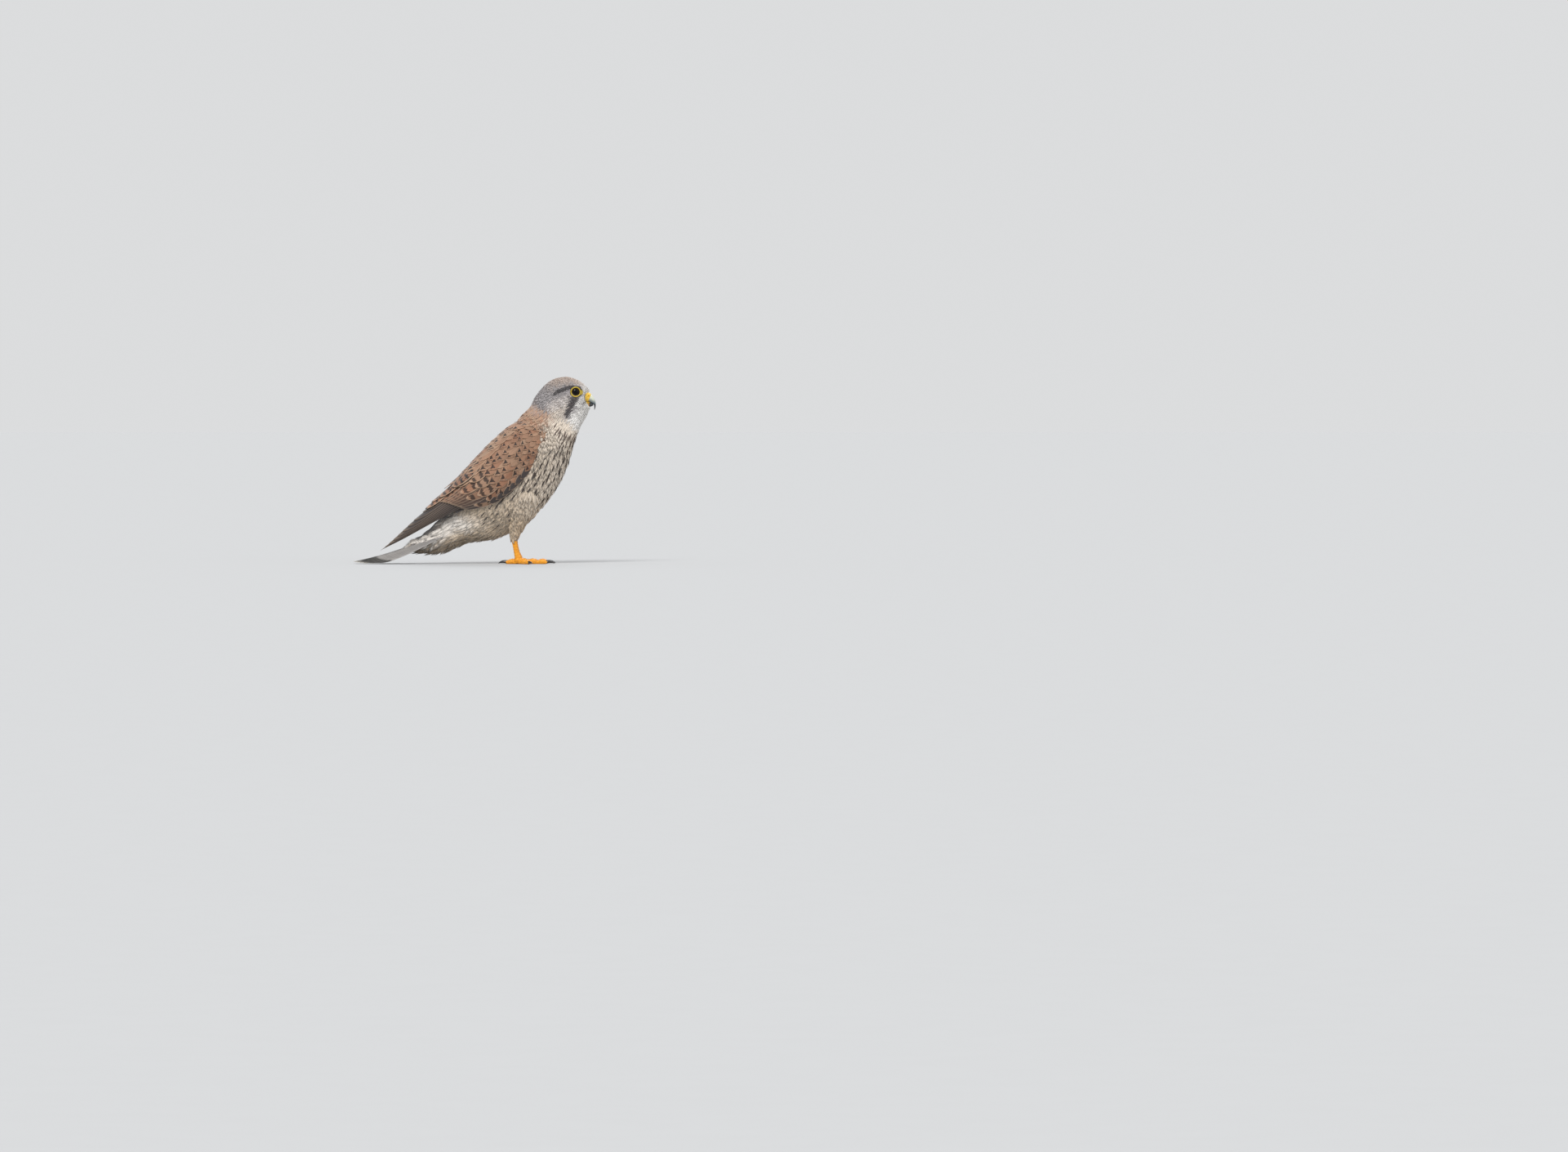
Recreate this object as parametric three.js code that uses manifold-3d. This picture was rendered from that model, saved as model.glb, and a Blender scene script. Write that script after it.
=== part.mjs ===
// A life-size common kestrel, an adult male, standing on level ground with its tail laid on it.
// Millimetres. The bird faces +X, its left side is +Y, and the ground is z = 0.
import * as THREE from "three";
import { mergeVertices } from "three/addons/utils/BufferGeometryUtils.js";
import Module from "manifold-3d";

const wasm = await Module();
wasm.setup();

const point = (x, y, z) => new THREE.Vector3(x, y, z);
const lerp = THREE.MathUtils.lerp;
const spread = (count, make) => Array.from({ length: count }, (unused, i) => make(i / (count - 1)));

// Evenly spread numbers between 0 and 1 that look random and are the same each time.
let draws = 0;
const random = () => (++draws * 0.6180339887) % 1;

// Driving sizes
const GAP = 0.3; // between touching pieces
const CENTRING = 47.4; // moves the feet forward, so that the origin is under the middle of the bird
const BODY_SIDES = 24; // points round a body ring
const RINGS_PER_STATION = 2;
const VANE = 0.6; // thickness of a feather's vane
const WING_REST = THREE.MathUtils.degToRad(33); // slope of the folded wing below the horizontal
const WING_BEND = new THREE.Vector3(33, 0, 136); // the wrist, at the front of the folded wing
const WING_LENGTH = 228; // wrist to the tip of the longest primary
const TAIL_LENGTH = 160; // follicles to the tip of the central pair
const TAIL_ROOT = new THREE.Vector3(-31.4, 0, 62.6);
const TAIL_SLOPES = [35, 11].map(THREE.MathUtils.degToRad); // at its root and where it lies on the ground
const REACH = 600; // longer than the bird, for cutting boxes
const LEG_APART = 14; // middle of the body to the middle of each leg
const EYE = { x: 61.5, y: 12.9, z: 185.2, radius: 5.3 };
const PLUMAGE = "#9a5f3e";

// Body profile from the face to the ends of the undertail coverts: the back and front edge of each
// cross-section in the side view, as x and z, and half of its width.
const BODY = [
  { at: "lores", back: [76.3, 184.5], front: [76, 171.5], half: 6 },
  { at: "forehead", back: [74.6, 190.2], front: [76.6, 167.2], half: 10.5 },
  { at: "forecrown", back: [64, 198.5], front: [74.5, 160.5], half: 16 },
  { at: "crown", back: [50, 202], front: [71, 154], half: 18.5 },
  { at: "hindcrown", back: [34, 197.5], front: [68.5, 149.5], half: 19.5 },
  { at: "nape", back: [20.5, 184.5], front: [66.5, 145], half: 20 },
  { at: "hindneck", back: [12.5, 171], front: [64, 140], half: 21.5 },
  { at: "mantle", back: [2, 159], front: [61, 132], half: 25.5 },
  { at: "shoulder", back: [-12, 142], front: [58, 122], half: 29.5 },
  { at: "breast", back: [-29, 123], front: [53, 107], half: 31 },
  { at: "back", back: [-43, 104.5], front: [44.5, 88], half: 31 },
  { at: "loin", back: [-54, 90], front: [32, 69], half: 29.5 },
  { at: "rump", back: [-63.5, 76], front: [12, 46.5], half: 26 },
  { at: "vent", back: [-73, 62], front: [-16, 31], half: 20 },
  { at: "tail base", back: [-84, 50], front: [-48, 24.5], half: 14 },
  { at: "undertail", back: [-98, 36], front: [-81, 14], half: 10 },
  { at: "undertail tip", back: [-112, 25.5], front: [-108, 13.5], half: 6 },
];

// The face is drawn in at its sides, where the bill leaves it, by so much and over so many stations.
const FACE_HOLLOW = 6;
const FACE_STATIONS = 3;

// Thin cuts that part the body, each through two points of the side view.
const HEAD_CUT = [[13.5, 172.5], [67, 147.5]];
const NECK_CUT = [[-3, 152.5], [60, 128]];
const TAIL_CUT = [[-76, 56], [-42, 25.5]];

// Folded wing along its length from the wrist: its upper and lower edge off the wing's axis, and how
// far its surface stands out from the middle of the body.
const WING = [
  { along: -6, top: 14, low: -1, out: 24 },
  { along: 18, top: 31, low: -9, out: 32.5 },
  { along: 52, top: 29, low: -20, out: 36 },
  { along: 85, top: 21.5, low: -23.5, out: 34.5 },
  { along: 117, top: 13.5, low: -16, out: 26 },
  { along: 155, top: 6.5, low: -11, out: 17.5 },
  { along: 190, top: 3, low: -8, out: 12.5 },
  { along: 230, top: 0.5, low: -4, out: 9.5 },
];
const WING_WRAP = 2.1; // radians that the wing's surface turns round the body
const WING_EDGE = 2.2; // the upper edge's distance from the middle of the body
const CORE_END = 128; // the covered part of the wing ends here, and the primaries go on alone
const CORE_DEPTHS = [9, 1.2]; // thickness of the covered part, before and after it thins
const CORE_THINS = [30, 130];

// Feathers of the wing. Each place is the length along the wing and the share of the way round its
// surface, from the upper edge, 0, to the lower edge, 1. Rows of coverts say where their roots lie, how
// far the feathers reach, and how high their tips lie over the surface. Long feathers go root to tip.
const COVERT_ROWS = [
  { at: 50, reach: 38, count: 5, from: 0.32, to: 1, half: 7, rise: 2.6 },
  { at: 28, reach: 34, count: 5, from: 0.3, to: 0.98, half: 7, rise: 3.2 },
  { at: 4, reach: 36, count: 5, from: 0.14, to: 0.98, half: 7.4, rise: 3.6 },
  { at: 62, reach: 44, count: 2, from: 0.02, to: 0.32, half: 8.2, rise: 3.2 },
  { at: 32, reach: 44, count: 2, from: 0.02, to: 0.32, half: 8.8, rise: 4 },
];
const LONG_FEATHERS = [
  ...spread(5, (u) => ({
    from: [108, lerp(0.42, 0.86, u)], to: [lerp(176, WING_LENGTH, u ** 0.75), lerp(0.16, 0.72, u)],
    half: lerp(7, 5.4, u), base: 0, rise: lerp(0.9, -3.6, u),
  })),
  ...spread(5, (u) => ({
    from: [lerp(74, 92, u), lerp(0.88, 0.42, u)], to: [lerp(118, 152, u), lerp(0.88, 0.36, u)],
    half: 7.4, base: 0, rise: 2, steps: 3,
  })),
  ...spread(3, (u) => ({
    from: [lerp(92, 70, u), lerp(0.2, 0.12, u)], to: [lerp(150, 117, u), lerp(0.2, 0.12, u)],
    half: 8.5, base: 0, rise: lerp(2.8, 3.6, u), steps: 3,
  })),
];
const TAIL_STEPS = [0, 1.5, 4, 7, 11, 17]; // how much each pair is shorter than the middle one
const TAIL_SPACING = 1.7;
const TAIL_LAYER = 1; // each pair lies this much under the one inside it
const TAIL_FEATHER = {
  root: 46, half: 8, tip: 0.5, rise: 1.2, middle: 1.4, fan: [0.5, 1.2], cross: -9, edge: 0.2,
};

// Coverts over and under the tail's root: stations along the body, and turns from the back.
const TAIL_COVERTS = [
  ...[-0.7, 0.7, 0].map((turn) => ({ from: 13.6, to: 15.4 - Math.abs(turn) / 2, turn, rise: 1.6 })),
  ...[-0.8, 0.8, 0].map((turn) => ({
    from: 14, to: 15.8 - Math.abs(turn) / 2, turn: Math.PI + turn, rise: 1.8,
  })),
];
const TAIL_COVERT = { half: 7, tip: 0.45, sunk: -1.5, wrap: 0.75 };

// A closed three.js geometry as a solid, turned right side out.
function solid(geometry) {
  const bare = geometry.index ? geometry.toNonIndexed() : geometry.clone();
  for (const name of Object.keys(bare.attributes)) if (name !== "position") bare.deleteAttribute(name);
  const merged = mergeVertices(bare, 1e-4);
  const numbers = {
    numProp: 3,
    vertProperties: merged.attributes.position.array,
    triVerts: new Uint32Array(merged.index.array),
  };
  const made = new wasm.Manifold(new wasm.Mesh(numbers));
  if (made.volume() > 0) return made;
  numbers.triVerts.reverse();
  return new wasm.Manifold(new wasm.Mesh(numbers));
}

// The largest closed surface of a solid, as a geometry.
function largest(made) {
  const bodies = made.decompose();
  return bodies.reduce((best, next) => (next.volume() > best.volume() ? next : best), bodies[0]);
}

function geometryOf(made) {
  const mesh = made.getMesh();
  const places = new Float32Array(mesh.numVert * 3);
  for (let i = 0; i < mesh.numVert; i++) {
    places.set(mesh.vertProperties.subarray(i * mesh.numProp, i * mesh.numProp + 3), i * 3);
  }
  const geometry = new THREE.BufferGeometry();
  geometry.setAttribute("position", new THREE.BufferAttribute(places, 3));
  geometry.setIndex(new THREE.BufferAttribute(new Uint32Array(mesh.triVerts), 1));
  const flat = geometry.toNonIndexed();
  flat.computeVertexNormals();
  return flat;
}

function fromTriangles(points, faces) {
  const geometry = new THREE.BufferGeometry();
  const places = points.flatMap((p) => [p.x, p.y, p.z]);
  geometry.setAttribute("position", new THREE.Float32BufferAttribute(places, 3));
  geometry.setIndex(faces.flat());
  return solid(geometry);
}

// A closed body through rings of equally many points, with a point in the middle of each end.
function loft(rings) {
  const n = rings[0].length;
  const points = rings.flat();
  const faces = [];
  for (let r = 0; r + 1 < rings.length; r++) {
    for (let i = 0; i < n; i++) {
      const a = r * n + i;
      const b = r * n + ((i + 1) % n);
      faces.push([a, b, b + n], [a, b + n, a + n]);
    }
  }
  for (const [ring, turn] of [[0, 1], [rings.length - 1, -1]]) {
    const middle = rings[ring].reduce((sum, p) => sum.add(p), point(0, 0, 0)).divideScalar(n);
    const centre = points.push(middle) - 1;
    for (let i = 0; i < n; i++) {
      const pair = [ring * n + i, ring * n + ((i + 1) % n)];
      faces.push(turn > 0 ? [pair[1], pair[0], centre] : [pair[0], pair[1], centre]);
    }
  }
  return fromTriangles(points, faces);
}

// A closed slab between two like grids of points, split into triangles alike on both faces.
function slab(upper, lower) {
  const rows = upper.length;
  const columns = upper[0].length;
  const points = [...upper.flat(), ...lower.flat()];
  const under = rows * columns;
  const at = (r, c) => r * columns + c;
  const faces = [];
  for (let r = 0; r + 1 < rows; r++) {
    for (let c = 0; c + 1 < columns; c++) {
      const [a, b, d, e] = [at(r, c), at(r, c + 1), at(r + 1, c), at(r + 1, c + 1)];
      faces.push([a, b, e], [a, e, d]);
      faces.push([a + under, e + under, b + under], [a + under, d + under, e + under]);
    }
  }
  const border = [];
  for (let c = 0; c < columns; c++) border.push(at(0, c));
  for (let r = 1; r < rows; r++) border.push(at(r, columns - 1));
  for (let c = columns - 2; c >= 0; c--) border.push(at(rows - 1, c));
  for (let r = rows - 2; r > 0; r--) border.push(at(r, 0));
  border.forEach((a, i) => {
    const b = border[(i + 1) % border.length];
    faces.push([a, a + under, b + under], [a, b + under, b]);
  });
  return fromTriangles(points, faces);
}

// A number that runs smoothly through the values that rows give at their places.
function along(rows, place, value, x) {
  const last = rows.length - 1;
  let i = rows.findIndex((row) => row[place] > x) - 1;
  if (i < 0) i = x <= rows[0][place] ? 0 : last - 1;
  const tangent = (k) => {
    const [a, b] = [rows[Math.max(k - 1, 0)], rows[Math.min(k + 1, last)]];
    return (b[value] - a[value]) / (b[place] - a[place]);
  };
  const [from, to] = [rows[i], rows[i + 1]];
  const step = to[place] - from[place];
  const u = THREE.MathUtils.clamp((x - from[place]) / step, 0, 1);
  const [u2, u3] = [u * u, u * u * u];
  return (
    (2 * u3 - 3 * u2 + 1) * from[value] +
    (u3 - 2 * u2 + u) * step * tangent(i) +
    (3 * u2 - 2 * u3) * to[value] +
    (u3 - u2) * step * tangent(i + 1)
  );
}

// The part of space on one side of a line of the side view. Positive lies ahead of or above it.
function halfSpace([[x0, z0], [x1, z1]], sign, offset) {
  const line = point(x1 - x0, 0, z1 - z0).normalize();
  const normal = point(-line.z, 0, line.x).multiplyScalar(sign);
  const box = new THREE.BoxGeometry(REACH, REACH, REACH);
  const turn = new THREE.Matrix4().makeBasis(line.clone().multiplyScalar(sign), point(0, 1, 0), normal);
  box.applyMatrix4(turn);
  const centre = point((x0 + x1) / 2, 0, (z0 + z1) / 2).addScaledVector(normal, REACH / 2 + offset);
  box.translate(centre.x, centre.y, centre.z);
  return solid(box);
}

function between(made, ...cuts) {
  return cuts.reduce((left, [line, sign]) => left.intersect(halfSpace(line, sign, GAP / 2)), made);
}

const BODY_ROWS = BODY.map((row, i) => ({
  i, half: row.half, bx: row.back[0], bz: row.back[1], fx: row.front[0], fz: row.front[1],
}));

// A point of the body's surface, from its place along the stations and the turn from the back, grown
// outwards by a margin.
function bodyPoint(place, turn, margin) {
  const read = (value) => along(BODY_ROWS, "i", value, place);
  const back = point(read("bx"), 0, read("bz"));
  const front = point(read("fx"), 0, read("fz"));
  const axis = back.clone().sub(front).multiplyScalar(0.5);
  axis.setLength(axis.length() + margin);
  const made = back.add(front).multiplyScalar(0.5).addScaledVector(axis, Math.cos(turn));
  made.y = (read("half") + margin) * Math.sin(turn);
  made.x -= FACE_HOLLOW * (1 - THREE.MathUtils.smoothstep(place, 0, FACE_STATIONS)) * Math.sin(turn) ** 2;
  return made;
}

function bodyRing(place, margin, sides) {
  return Array.from({ length: sides }, (unused, k) => bodyPoint(place, (k / sides) * 2 * Math.PI, margin));
}

function bodyLoft(margin, sides, perStation, from = 0, to = BODY.length - 1) {
  const count = Math.round((to - from) * perStation);
  const ring = (unused, k) => bodyRing(from + k / perStation, margin, sides);
  return loft(Array.from({ length: count + 1 }, ring));
}

// Head details
function ellipsoid(centre, radii, tilt = 0, detail = [12, 8]) {
  const ball = new THREE.SphereGeometry(1, ...detail);
  ball.scale(...radii);
  ball.rotateY(tilt);
  ball.translate(centre.x, centre.y, centre.z);
  return solid(ball);
}

const eyePlace = (side) => point(EYE.x, side * EYE.y, EYE.z);

function eyeball(side, margin = 0) {
  const radius = EYE.radius + margin;
  return ellipsoid(eyePlace(side), [radius, radius, radius], 0, [12, 8]);
}

// The bare ring of the eyelids, longer towards the bill.
const LID = { radius: 4.9, thick: 1.05, long: 1.12, flat: 0.8, turn: 0.16, ahead: 0.5, out: 3.6 };

function lidRing(side, margin = 0) {
  const ring = new THREE.TorusGeometry(LID.radius, LID.thick + margin, 5, 14);
  ring.scale(LID.long, 1, LID.flat);
  ring.rotateX(Math.PI / 2);
  ring.rotateZ(-side * LID.turn);
  const place = eyePlace(side).add(point(LID.ahead, side * LID.out, 0));
  ring.translate(place.x, place.y, place.z);
  return solid(ring);
}

const BROW = { x: 61, y: 12.9, z: 191.3, radii: [9, 3.4, 2.4], tilt: 0.1 };

function brow(side) {
  return ellipsoid(point(BROW.x, side * BROW.y, BROW.z), BROW.radii, BROW.tilt, [8, 6]);
}

// Bill and cere: the culmen and the cutting edge of each cross-section, and half of its width.
const UPPER_BILL = [
  { top: [70, 186.5], edge: [70, 174], half: 6.6 },
  { top: [74.6, 185], edge: [73.5, 173.8], half: 5.8 },
  { top: [78, 182.6], edge: [76, 173.4], half: 4.9 },
  { top: [80.6, 179.8], edge: [78.2, 172.9], half: 3.9 },
  { top: [82.5, 176.2], edge: [80.2, 172.2], half: 2.9 },
  { top: [83.3, 172.4], edge: [81.3, 170.8], half: 1.9 },
  { top: [83, 168.8], edge: [81.6, 168.4], half: 1 },
  { top: [82.1, 165.9], edge: [81.5, 166], half: 0.35 },
];
const LOWER_BILL = [
  { top: [70, 173], edge: [69, 168.6], half: 5.3 },
  { top: [74, 172.9], edge: [73.5, 168.5], half: 4.5 },
  { top: [77.3, 172.4], edge: [76.8, 168.8], half: 3.4 },
  { top: [79.6, 171.6], edge: [79.2, 169.6], half: 2.2 },
  { top: [80.6, 170.8], edge: [80.5, 170.3], half: 1 },
];
const CERE_CUT = [[80.2, 186], [72.8, 170]];
const NOSTRIL = { x: 75.6, y: 5.8, z: 180.4, radius: 0.8, length: 4, turn: 0.15 };
const FACE_SIDES = 10;

function billLoft(rows, margin = 0) {
  return loft(
    rows.map((row) => {
      const top = point(row.top[0], 0, row.top[1]);
      const edge = point(row.edge[0], 0, row.edge[1]);
      const axis = top.clone().sub(edge).multiplyScalar(0.5);
      const centre = top.add(edge).multiplyScalar(0.5);
      axis.setLength(axis.length() + margin);
      return Array.from({ length: FACE_SIDES }, (unused, k) => {
        const turn = (k / FACE_SIDES) * 2 * Math.PI;
        const ring = centre.clone().addScaledVector(axis, Math.cos(turn));
        ring.y = (row.half + margin) * Math.sin(turn);
        return ring;
      });
    }),
  );
}

function nostril(side) {
  const hole = new THREE.CylinderGeometry(NOSTRIL.radius, NOSTRIL.radius, NOSTRIL.length, FACE_SIDES);
  hole.rotateZ(NOSTRIL.turn * side);
  hole.translate(NOSTRIL.x, side * NOSTRIL.y, NOSTRIL.z);
  return solid(hole);
}

// Folded wing
const WING_AXIS = point(-Math.cos(WING_REST), 0, -Math.sin(WING_REST));
const WING_UP = point(-Math.sin(WING_REST), 0, Math.cos(WING_REST));

function wingSkin(s, v, side) {
  const read = (value) => along(WING, "along", value, s);
  const [top, low, out] = [read("top"), read("low"), read("out")];
  const turn = v * WING_WRAP;
  const low0 = Math.cos(WING_WRAP);
  const middle = (low - low0 * top) / (1 - low0);
  const rise = middle + (top - middle) * Math.cos(turn);
  const y = WING_EDGE + (out - WING_EDGE) * Math.sin(turn);
  const place = WING_BEND.clone().addScaledVector(WING_AXIS, s).addScaledVector(WING_UP, rise);
  place.y = side * y;
  return place;
}

// A point of the wing at a height off its skin.
function wingPoint(s, v, height, side) {
  const step = 0.02;
  const here = wingSkin(s, v, side);
  const lengthwise = wingSkin(s + 1, v, side).sub(here);
  const across = wingSkin(s, v + step, side).sub(wingSkin(s, v - step, side));
  const normal = lengthwise.cross(across).normalize().multiplyScalar(side);
  return here.addScaledVector(normal, -height);
}

function wingCore(side) {
  const rows = 9;
  const columns = 6;
  const depth = (s) => lerp(...CORE_DEPTHS, THREE.MathUtils.smoothstep(s, ...CORE_THINS));
  const grid = (height) =>
    Array.from({ length: rows }, (unused, r) => {
      const s = lerp(WING[0].along, CORE_END, r / (rows - 1));
      return Array.from({ length: columns }, (none, c) => wingPoint(s, c / (columns - 1), height(s), side));
    });
  return slab(grid(() => 0), grid((s) => -depth(s)));
}

// One vane: a thin blade, rounded at its tip. place(u, w, height, upper) gives a point of it, from its
// place along the vane, its distance aside and its height over the surface that the vane lies on.
function blade(place, { spans, half, tip, lift, tilt = 0, thick = VANE }) {
  const widest = 0.55;
  const width = (u) =>
    half * (u < widest ? lerp(0.7, 1, u / widest) : 1 - (1 - tip) * ((u - widest) / (1 - widest)) ** 2.6);
  const grid = (face) =>
    spans.map((u) =>
      [-1, 1].map((c) => place(u, c * width(u), lift(u) + c * tilt * width(u) + face * thick, face > 0)),
    );
  return slab(grid(0.5), grid(-0.5));
}

// The length round the wing's skin at a place along it, from its upper to its lower edge.
function wingGirth(s) {
  const parts = 6;
  const places = Array.from({ length: parts + 1 }, (unused, i) => wingSkin(s, i / parts, 1));
  return places.slice(1).reduce((sum, place, i) => sum + place.distanceTo(places[i]), 0);
}

function wingVane(side, { from, to, half, tip = 0.3, base = 0.6, rise, steps = 4 }) {
  const spans = Array.from({ length: steps + 1 }, (unused, k) => 1 - (1 - k / steps) ** 1.3);
  const place = (u, w, height) => {
    const s = lerp(from[0], to[0], u);
    return wingPoint(s, lerp(from[1], to[1], u) + w / wingGirth(s), height, side);
  };
  return blade(place, { spans, half, tip, lift: (u) => lerp(-base, rise, u), tilt: 0.1 });
}

// One row of coverts, slightly uneven.
function covertRow({ at, reach, count, from, to, half, rise }) {
  return Array.from({ length: count }, (unused, i) => {
    const v = lerp(from, to, (i + 0.5) / count);
    const root = at + 2 * (random() - 0.5);
    return { from: [root, v], to: [root + reach * lerp(0.95, 1.05, random()), v], half, rise, steps: 3 };
  });
}

function wing(side) {
  draws = 0;
  const vanes = [...LONG_FEATHERS, ...COVERT_ROWS.flatMap(covertRow)].map((row) => wingVane(side, row));
  return vanes.reduce((joined, next) => joined.add(next), wingCore(side));
}

// Tail
function tailPoint(s, y, height) {
  const bend = (TAIL_SLOPES[1] - TAIL_SLOPES[0]) / TAIL_LENGTH;
  const slope = TAIL_SLOPES[0] + bend * s;
  const run = (Math.sin(slope) - Math.sin(TAIL_SLOPES[0])) / bend;
  const drop = (Math.cos(TAIL_SLOPES[0]) - Math.cos(slope)) / bend;
  return point(
    TAIL_ROOT.x - run - height * Math.sin(slope),
    y,
    TAIL_ROOT.z - drop + height * Math.cos(slope),
  );
}

// A tail feather. The middle pair is the longest and on top, and each pair outwards lies lower.
function tailVane(side, pair) {
  const feather = TAIL_FEATHER;
  const middle = feather.middle + TAIL_SPACING * pair;
  const layer = pair === 0 ? (side > 0 ? 1 : 0) : -pair;
  const inner = pair === 0 ? feather.cross : feather.edge; // only the middle pair crosses the midline
  const place = (u, w, height, upper) => {
    const s = lerp(feather.root, TAIL_LENGTH - TAIL_STEPS[pair], u);
    const out = Math.max(middle * lerp(...feather.fan, u) + side * w, inner);
    const made = tailPoint(s, side * out, height);
    made.z = Math.max(made.z, upper ? VANE : 0);
    return made;
  };
  return blade(place, {
    spans: [0, 0.35, 0.7, 0.93, 1],
    half: feather.half,
    tip: feather.tip,
    lift: () => feather.rise + layer * TAIL_LAYER,
  });
}

// A covert over or under the root of the tail, from one place along the body to another.
function tailCovert({ from, to, turn, rise }) {
  const { half, tip, sunk, wrap } = TAIL_COVERT;
  const place = (u, w, height) => bodyPoint(lerp(from, to, u), turn + (w / half) * wrap, height);
  return blade(place, { spans: [0, 0.6, 1], half, tip, lift: (u) => lerp(sunk, rise, u) });
}

function tailVanes() {
  const quills = TAIL_STEPS.flatMap((unused, pair) => [tailVane(1, pair), tailVane(-1, pair)]);
  return [...quills, ...TAIL_COVERTS.map(tailCovert)];
}

// Legs and feet
function roundTube(path, sides, flatten = true) {
  return loft(
    path.map(({ at, radius, wide = 1 }, i) => {
      const before = path[Math.max(i - 1, 0)].at;
      const after = path[Math.min(i + 1, path.length - 1)].at;
      const forward = after.clone().sub(before).normalize();
      const aside = Math.abs(forward.z) > 0.9 ? point(0, 1, 0) : point(0, 0, 1).cross(forward).normalize();
      const upward = forward.clone().cross(aside).normalize();
      return Array.from({ length: sides }, (unused, k) => {
        const turn = ((k + 0.5) / sides) * 2 * Math.PI;
        const ring = at.clone();
        ring.addScaledVector(aside, radius * wide * Math.cos(turn));
        ring.addScaledVector(upward, radius * Math.sin(turn));
        if (flatten) ring.z = Math.max(ring.z, 0);
        return ring;
      });
    }),
  );
}

const THIGH = [
  { x: 12, z: 86, radius: 8 },
  { x: 9, z: 76, radius: 14.5 },
  { x: 4.5, z: 62, radius: 14.5 },
  { x: 0, z: 48, radius: 10.8 },
  { x: -3, z: 36, radius: 7 },
  { x: -4.6, z: 26, radius: 4.8 },
];
const HEEL_CUT = [[-50, 28], [50, 28]];
const SHANK = [
  { x: -4.6, z: 31, radius: 3 },
  { x: -3.6, z: 21, radius: 2.5 },
  { x: -2, z: 13, radius: 2.7 },
  { x: -0.4, z: 7.5, radius: 3.6 },
  { x: 0.4, z: 3.8, radius: 4.6 },
  { x: 0.4, z: 1, radius: 3.9 },
];

function thigh(side) {
  const path = THIGH.map((row) => ({ at: point(row.x, side * LEG_APART, row.z), radius: row.radius }));
  return between(roundTube(path, 12), [HEEL_CUT, 1]);
}

function shank(side, margin = 0) {
  const path = SHANK.map((row) => ({
    at: point(row.x, side * LEG_APART, row.z - (row.z < 2 ? margin : 0)),
    radius: row.radius + margin,
  }));
  return between(roundTube(path, 12, margin === 0), [HEEL_CUT, -1]);
}

// Toes by their bearing from straight ahead, outwards, and their length to the claw.
const TOES = [
  { name: "middle", bearing: 4, length: 31, joints: 3, thick: 2.8, claw: 10.5 },
  { name: "inner", bearing: -20, length: 21.5, joints: 2, thick: 2.7, claw: 10.5 },
  { name: "outer", bearing: 58, length: 22.5, joints: 3, thick: 2.5, claw: 9 },
  { name: "hind", bearing: 186, length: 13, joints: 1, thick: 2.7, claw: 10.5 },
];

function toePlace(toe, side, distance, height) {
  const turn = THREE.MathUtils.degToRad(toe.bearing);
  return point(distance * Math.cos(turn), side * (LEG_APART + distance * Math.sin(turn)), height);
}

// A toe swells over its pads and thins at the joints between them. Its radius is its thickness times
// the share at its root and its end, and times the tip's share on the last ring.
const TOE = { root: 1.06, end: 0.86, pads: 0.12, tip: 0.72, low: 0.8, heel: 0.6, wide: 0.92 };

function toeTube(toe, side, margin = 0) {
  const steps = 2 * toe.joints + 2;
  const path = Array.from({ length: steps + 1 }, (unused, k) => {
    const u = k / steps;
    const pad = TOE.pads * Math.cos(u * toe.joints * 2 * Math.PI);
    const radius = toe.thick * (lerp(TOE.root, TOE.end, u) - pad) * (k === steps ? TOE.tip : 1);
    const height = radius * TOE.low + (k === 0 ? TOE.heel : 0);
    return { at: toePlace(toe, side, u * toe.length, height), radius: radius + margin, wide: TOE.wide };
  });
  return roundTube(path, 8, margin === 0);
}

// A claw curves down from the end of its toe to a point just off the ground. Its base, root and reach
// are shares of the toe's thickness and of the claw's length.
const CLAW = {
  base: 0.62, root: 0.78, reach: 0.86, arch: 0.9, low: 0.3, bend: 1.25, tip: 0.22, taper: 0.8,
};

function clawTube(toe, side) {
  const steps = 4;
  const base = toe.thick * CLAW.base;
  const reach = toe.claw * CLAW.reach;
  const path = Array.from({ length: steps + 1 }, (unused, k) => {
    const u = k / steps;
    const arch = CLAW.arch * Math.sin(u * Math.PI * 0.8) * (1 - u);
    const height = toe.thick * CLAW.root + arch - (base - CLAW.low) * u * u;
    const ahead = (reach * Math.sin(u * CLAW.bend)) / Math.sin(CLAW.bend);
    return {
      at: toePlace(toe, side, toe.length + GAP + ahead, height),
      radius: base * (1 - u) ** CLAW.taper + CLAW.tip,
    };
  });
  return roundTube(path, 6);
}

// Assembly
const root = new THREE.Group();
root.position.x = CENTRING;

function add(name, made, colour, roughness = 0.8) {
  const material = new THREE.MeshStandardMaterial({ color: colour, roughness, metalness: 0 });
  const mesh = new THREE.Mesh(geometryOf(largest(made)), material);
  mesh.name = name;
  root.add(mesh);
}

const SIDES = [["right", -1], ["left", 1]];
const whole = bodyLoft(0, BODY_SIDES, RINGS_PER_STATION);
const closeFit = bodyLoft(0.5, BODY_SIDES, RINGS_PER_STATION);
const looseFit = bodyLoft(1.5, 18, 1); // with fewer faces, so it stays further off

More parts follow.
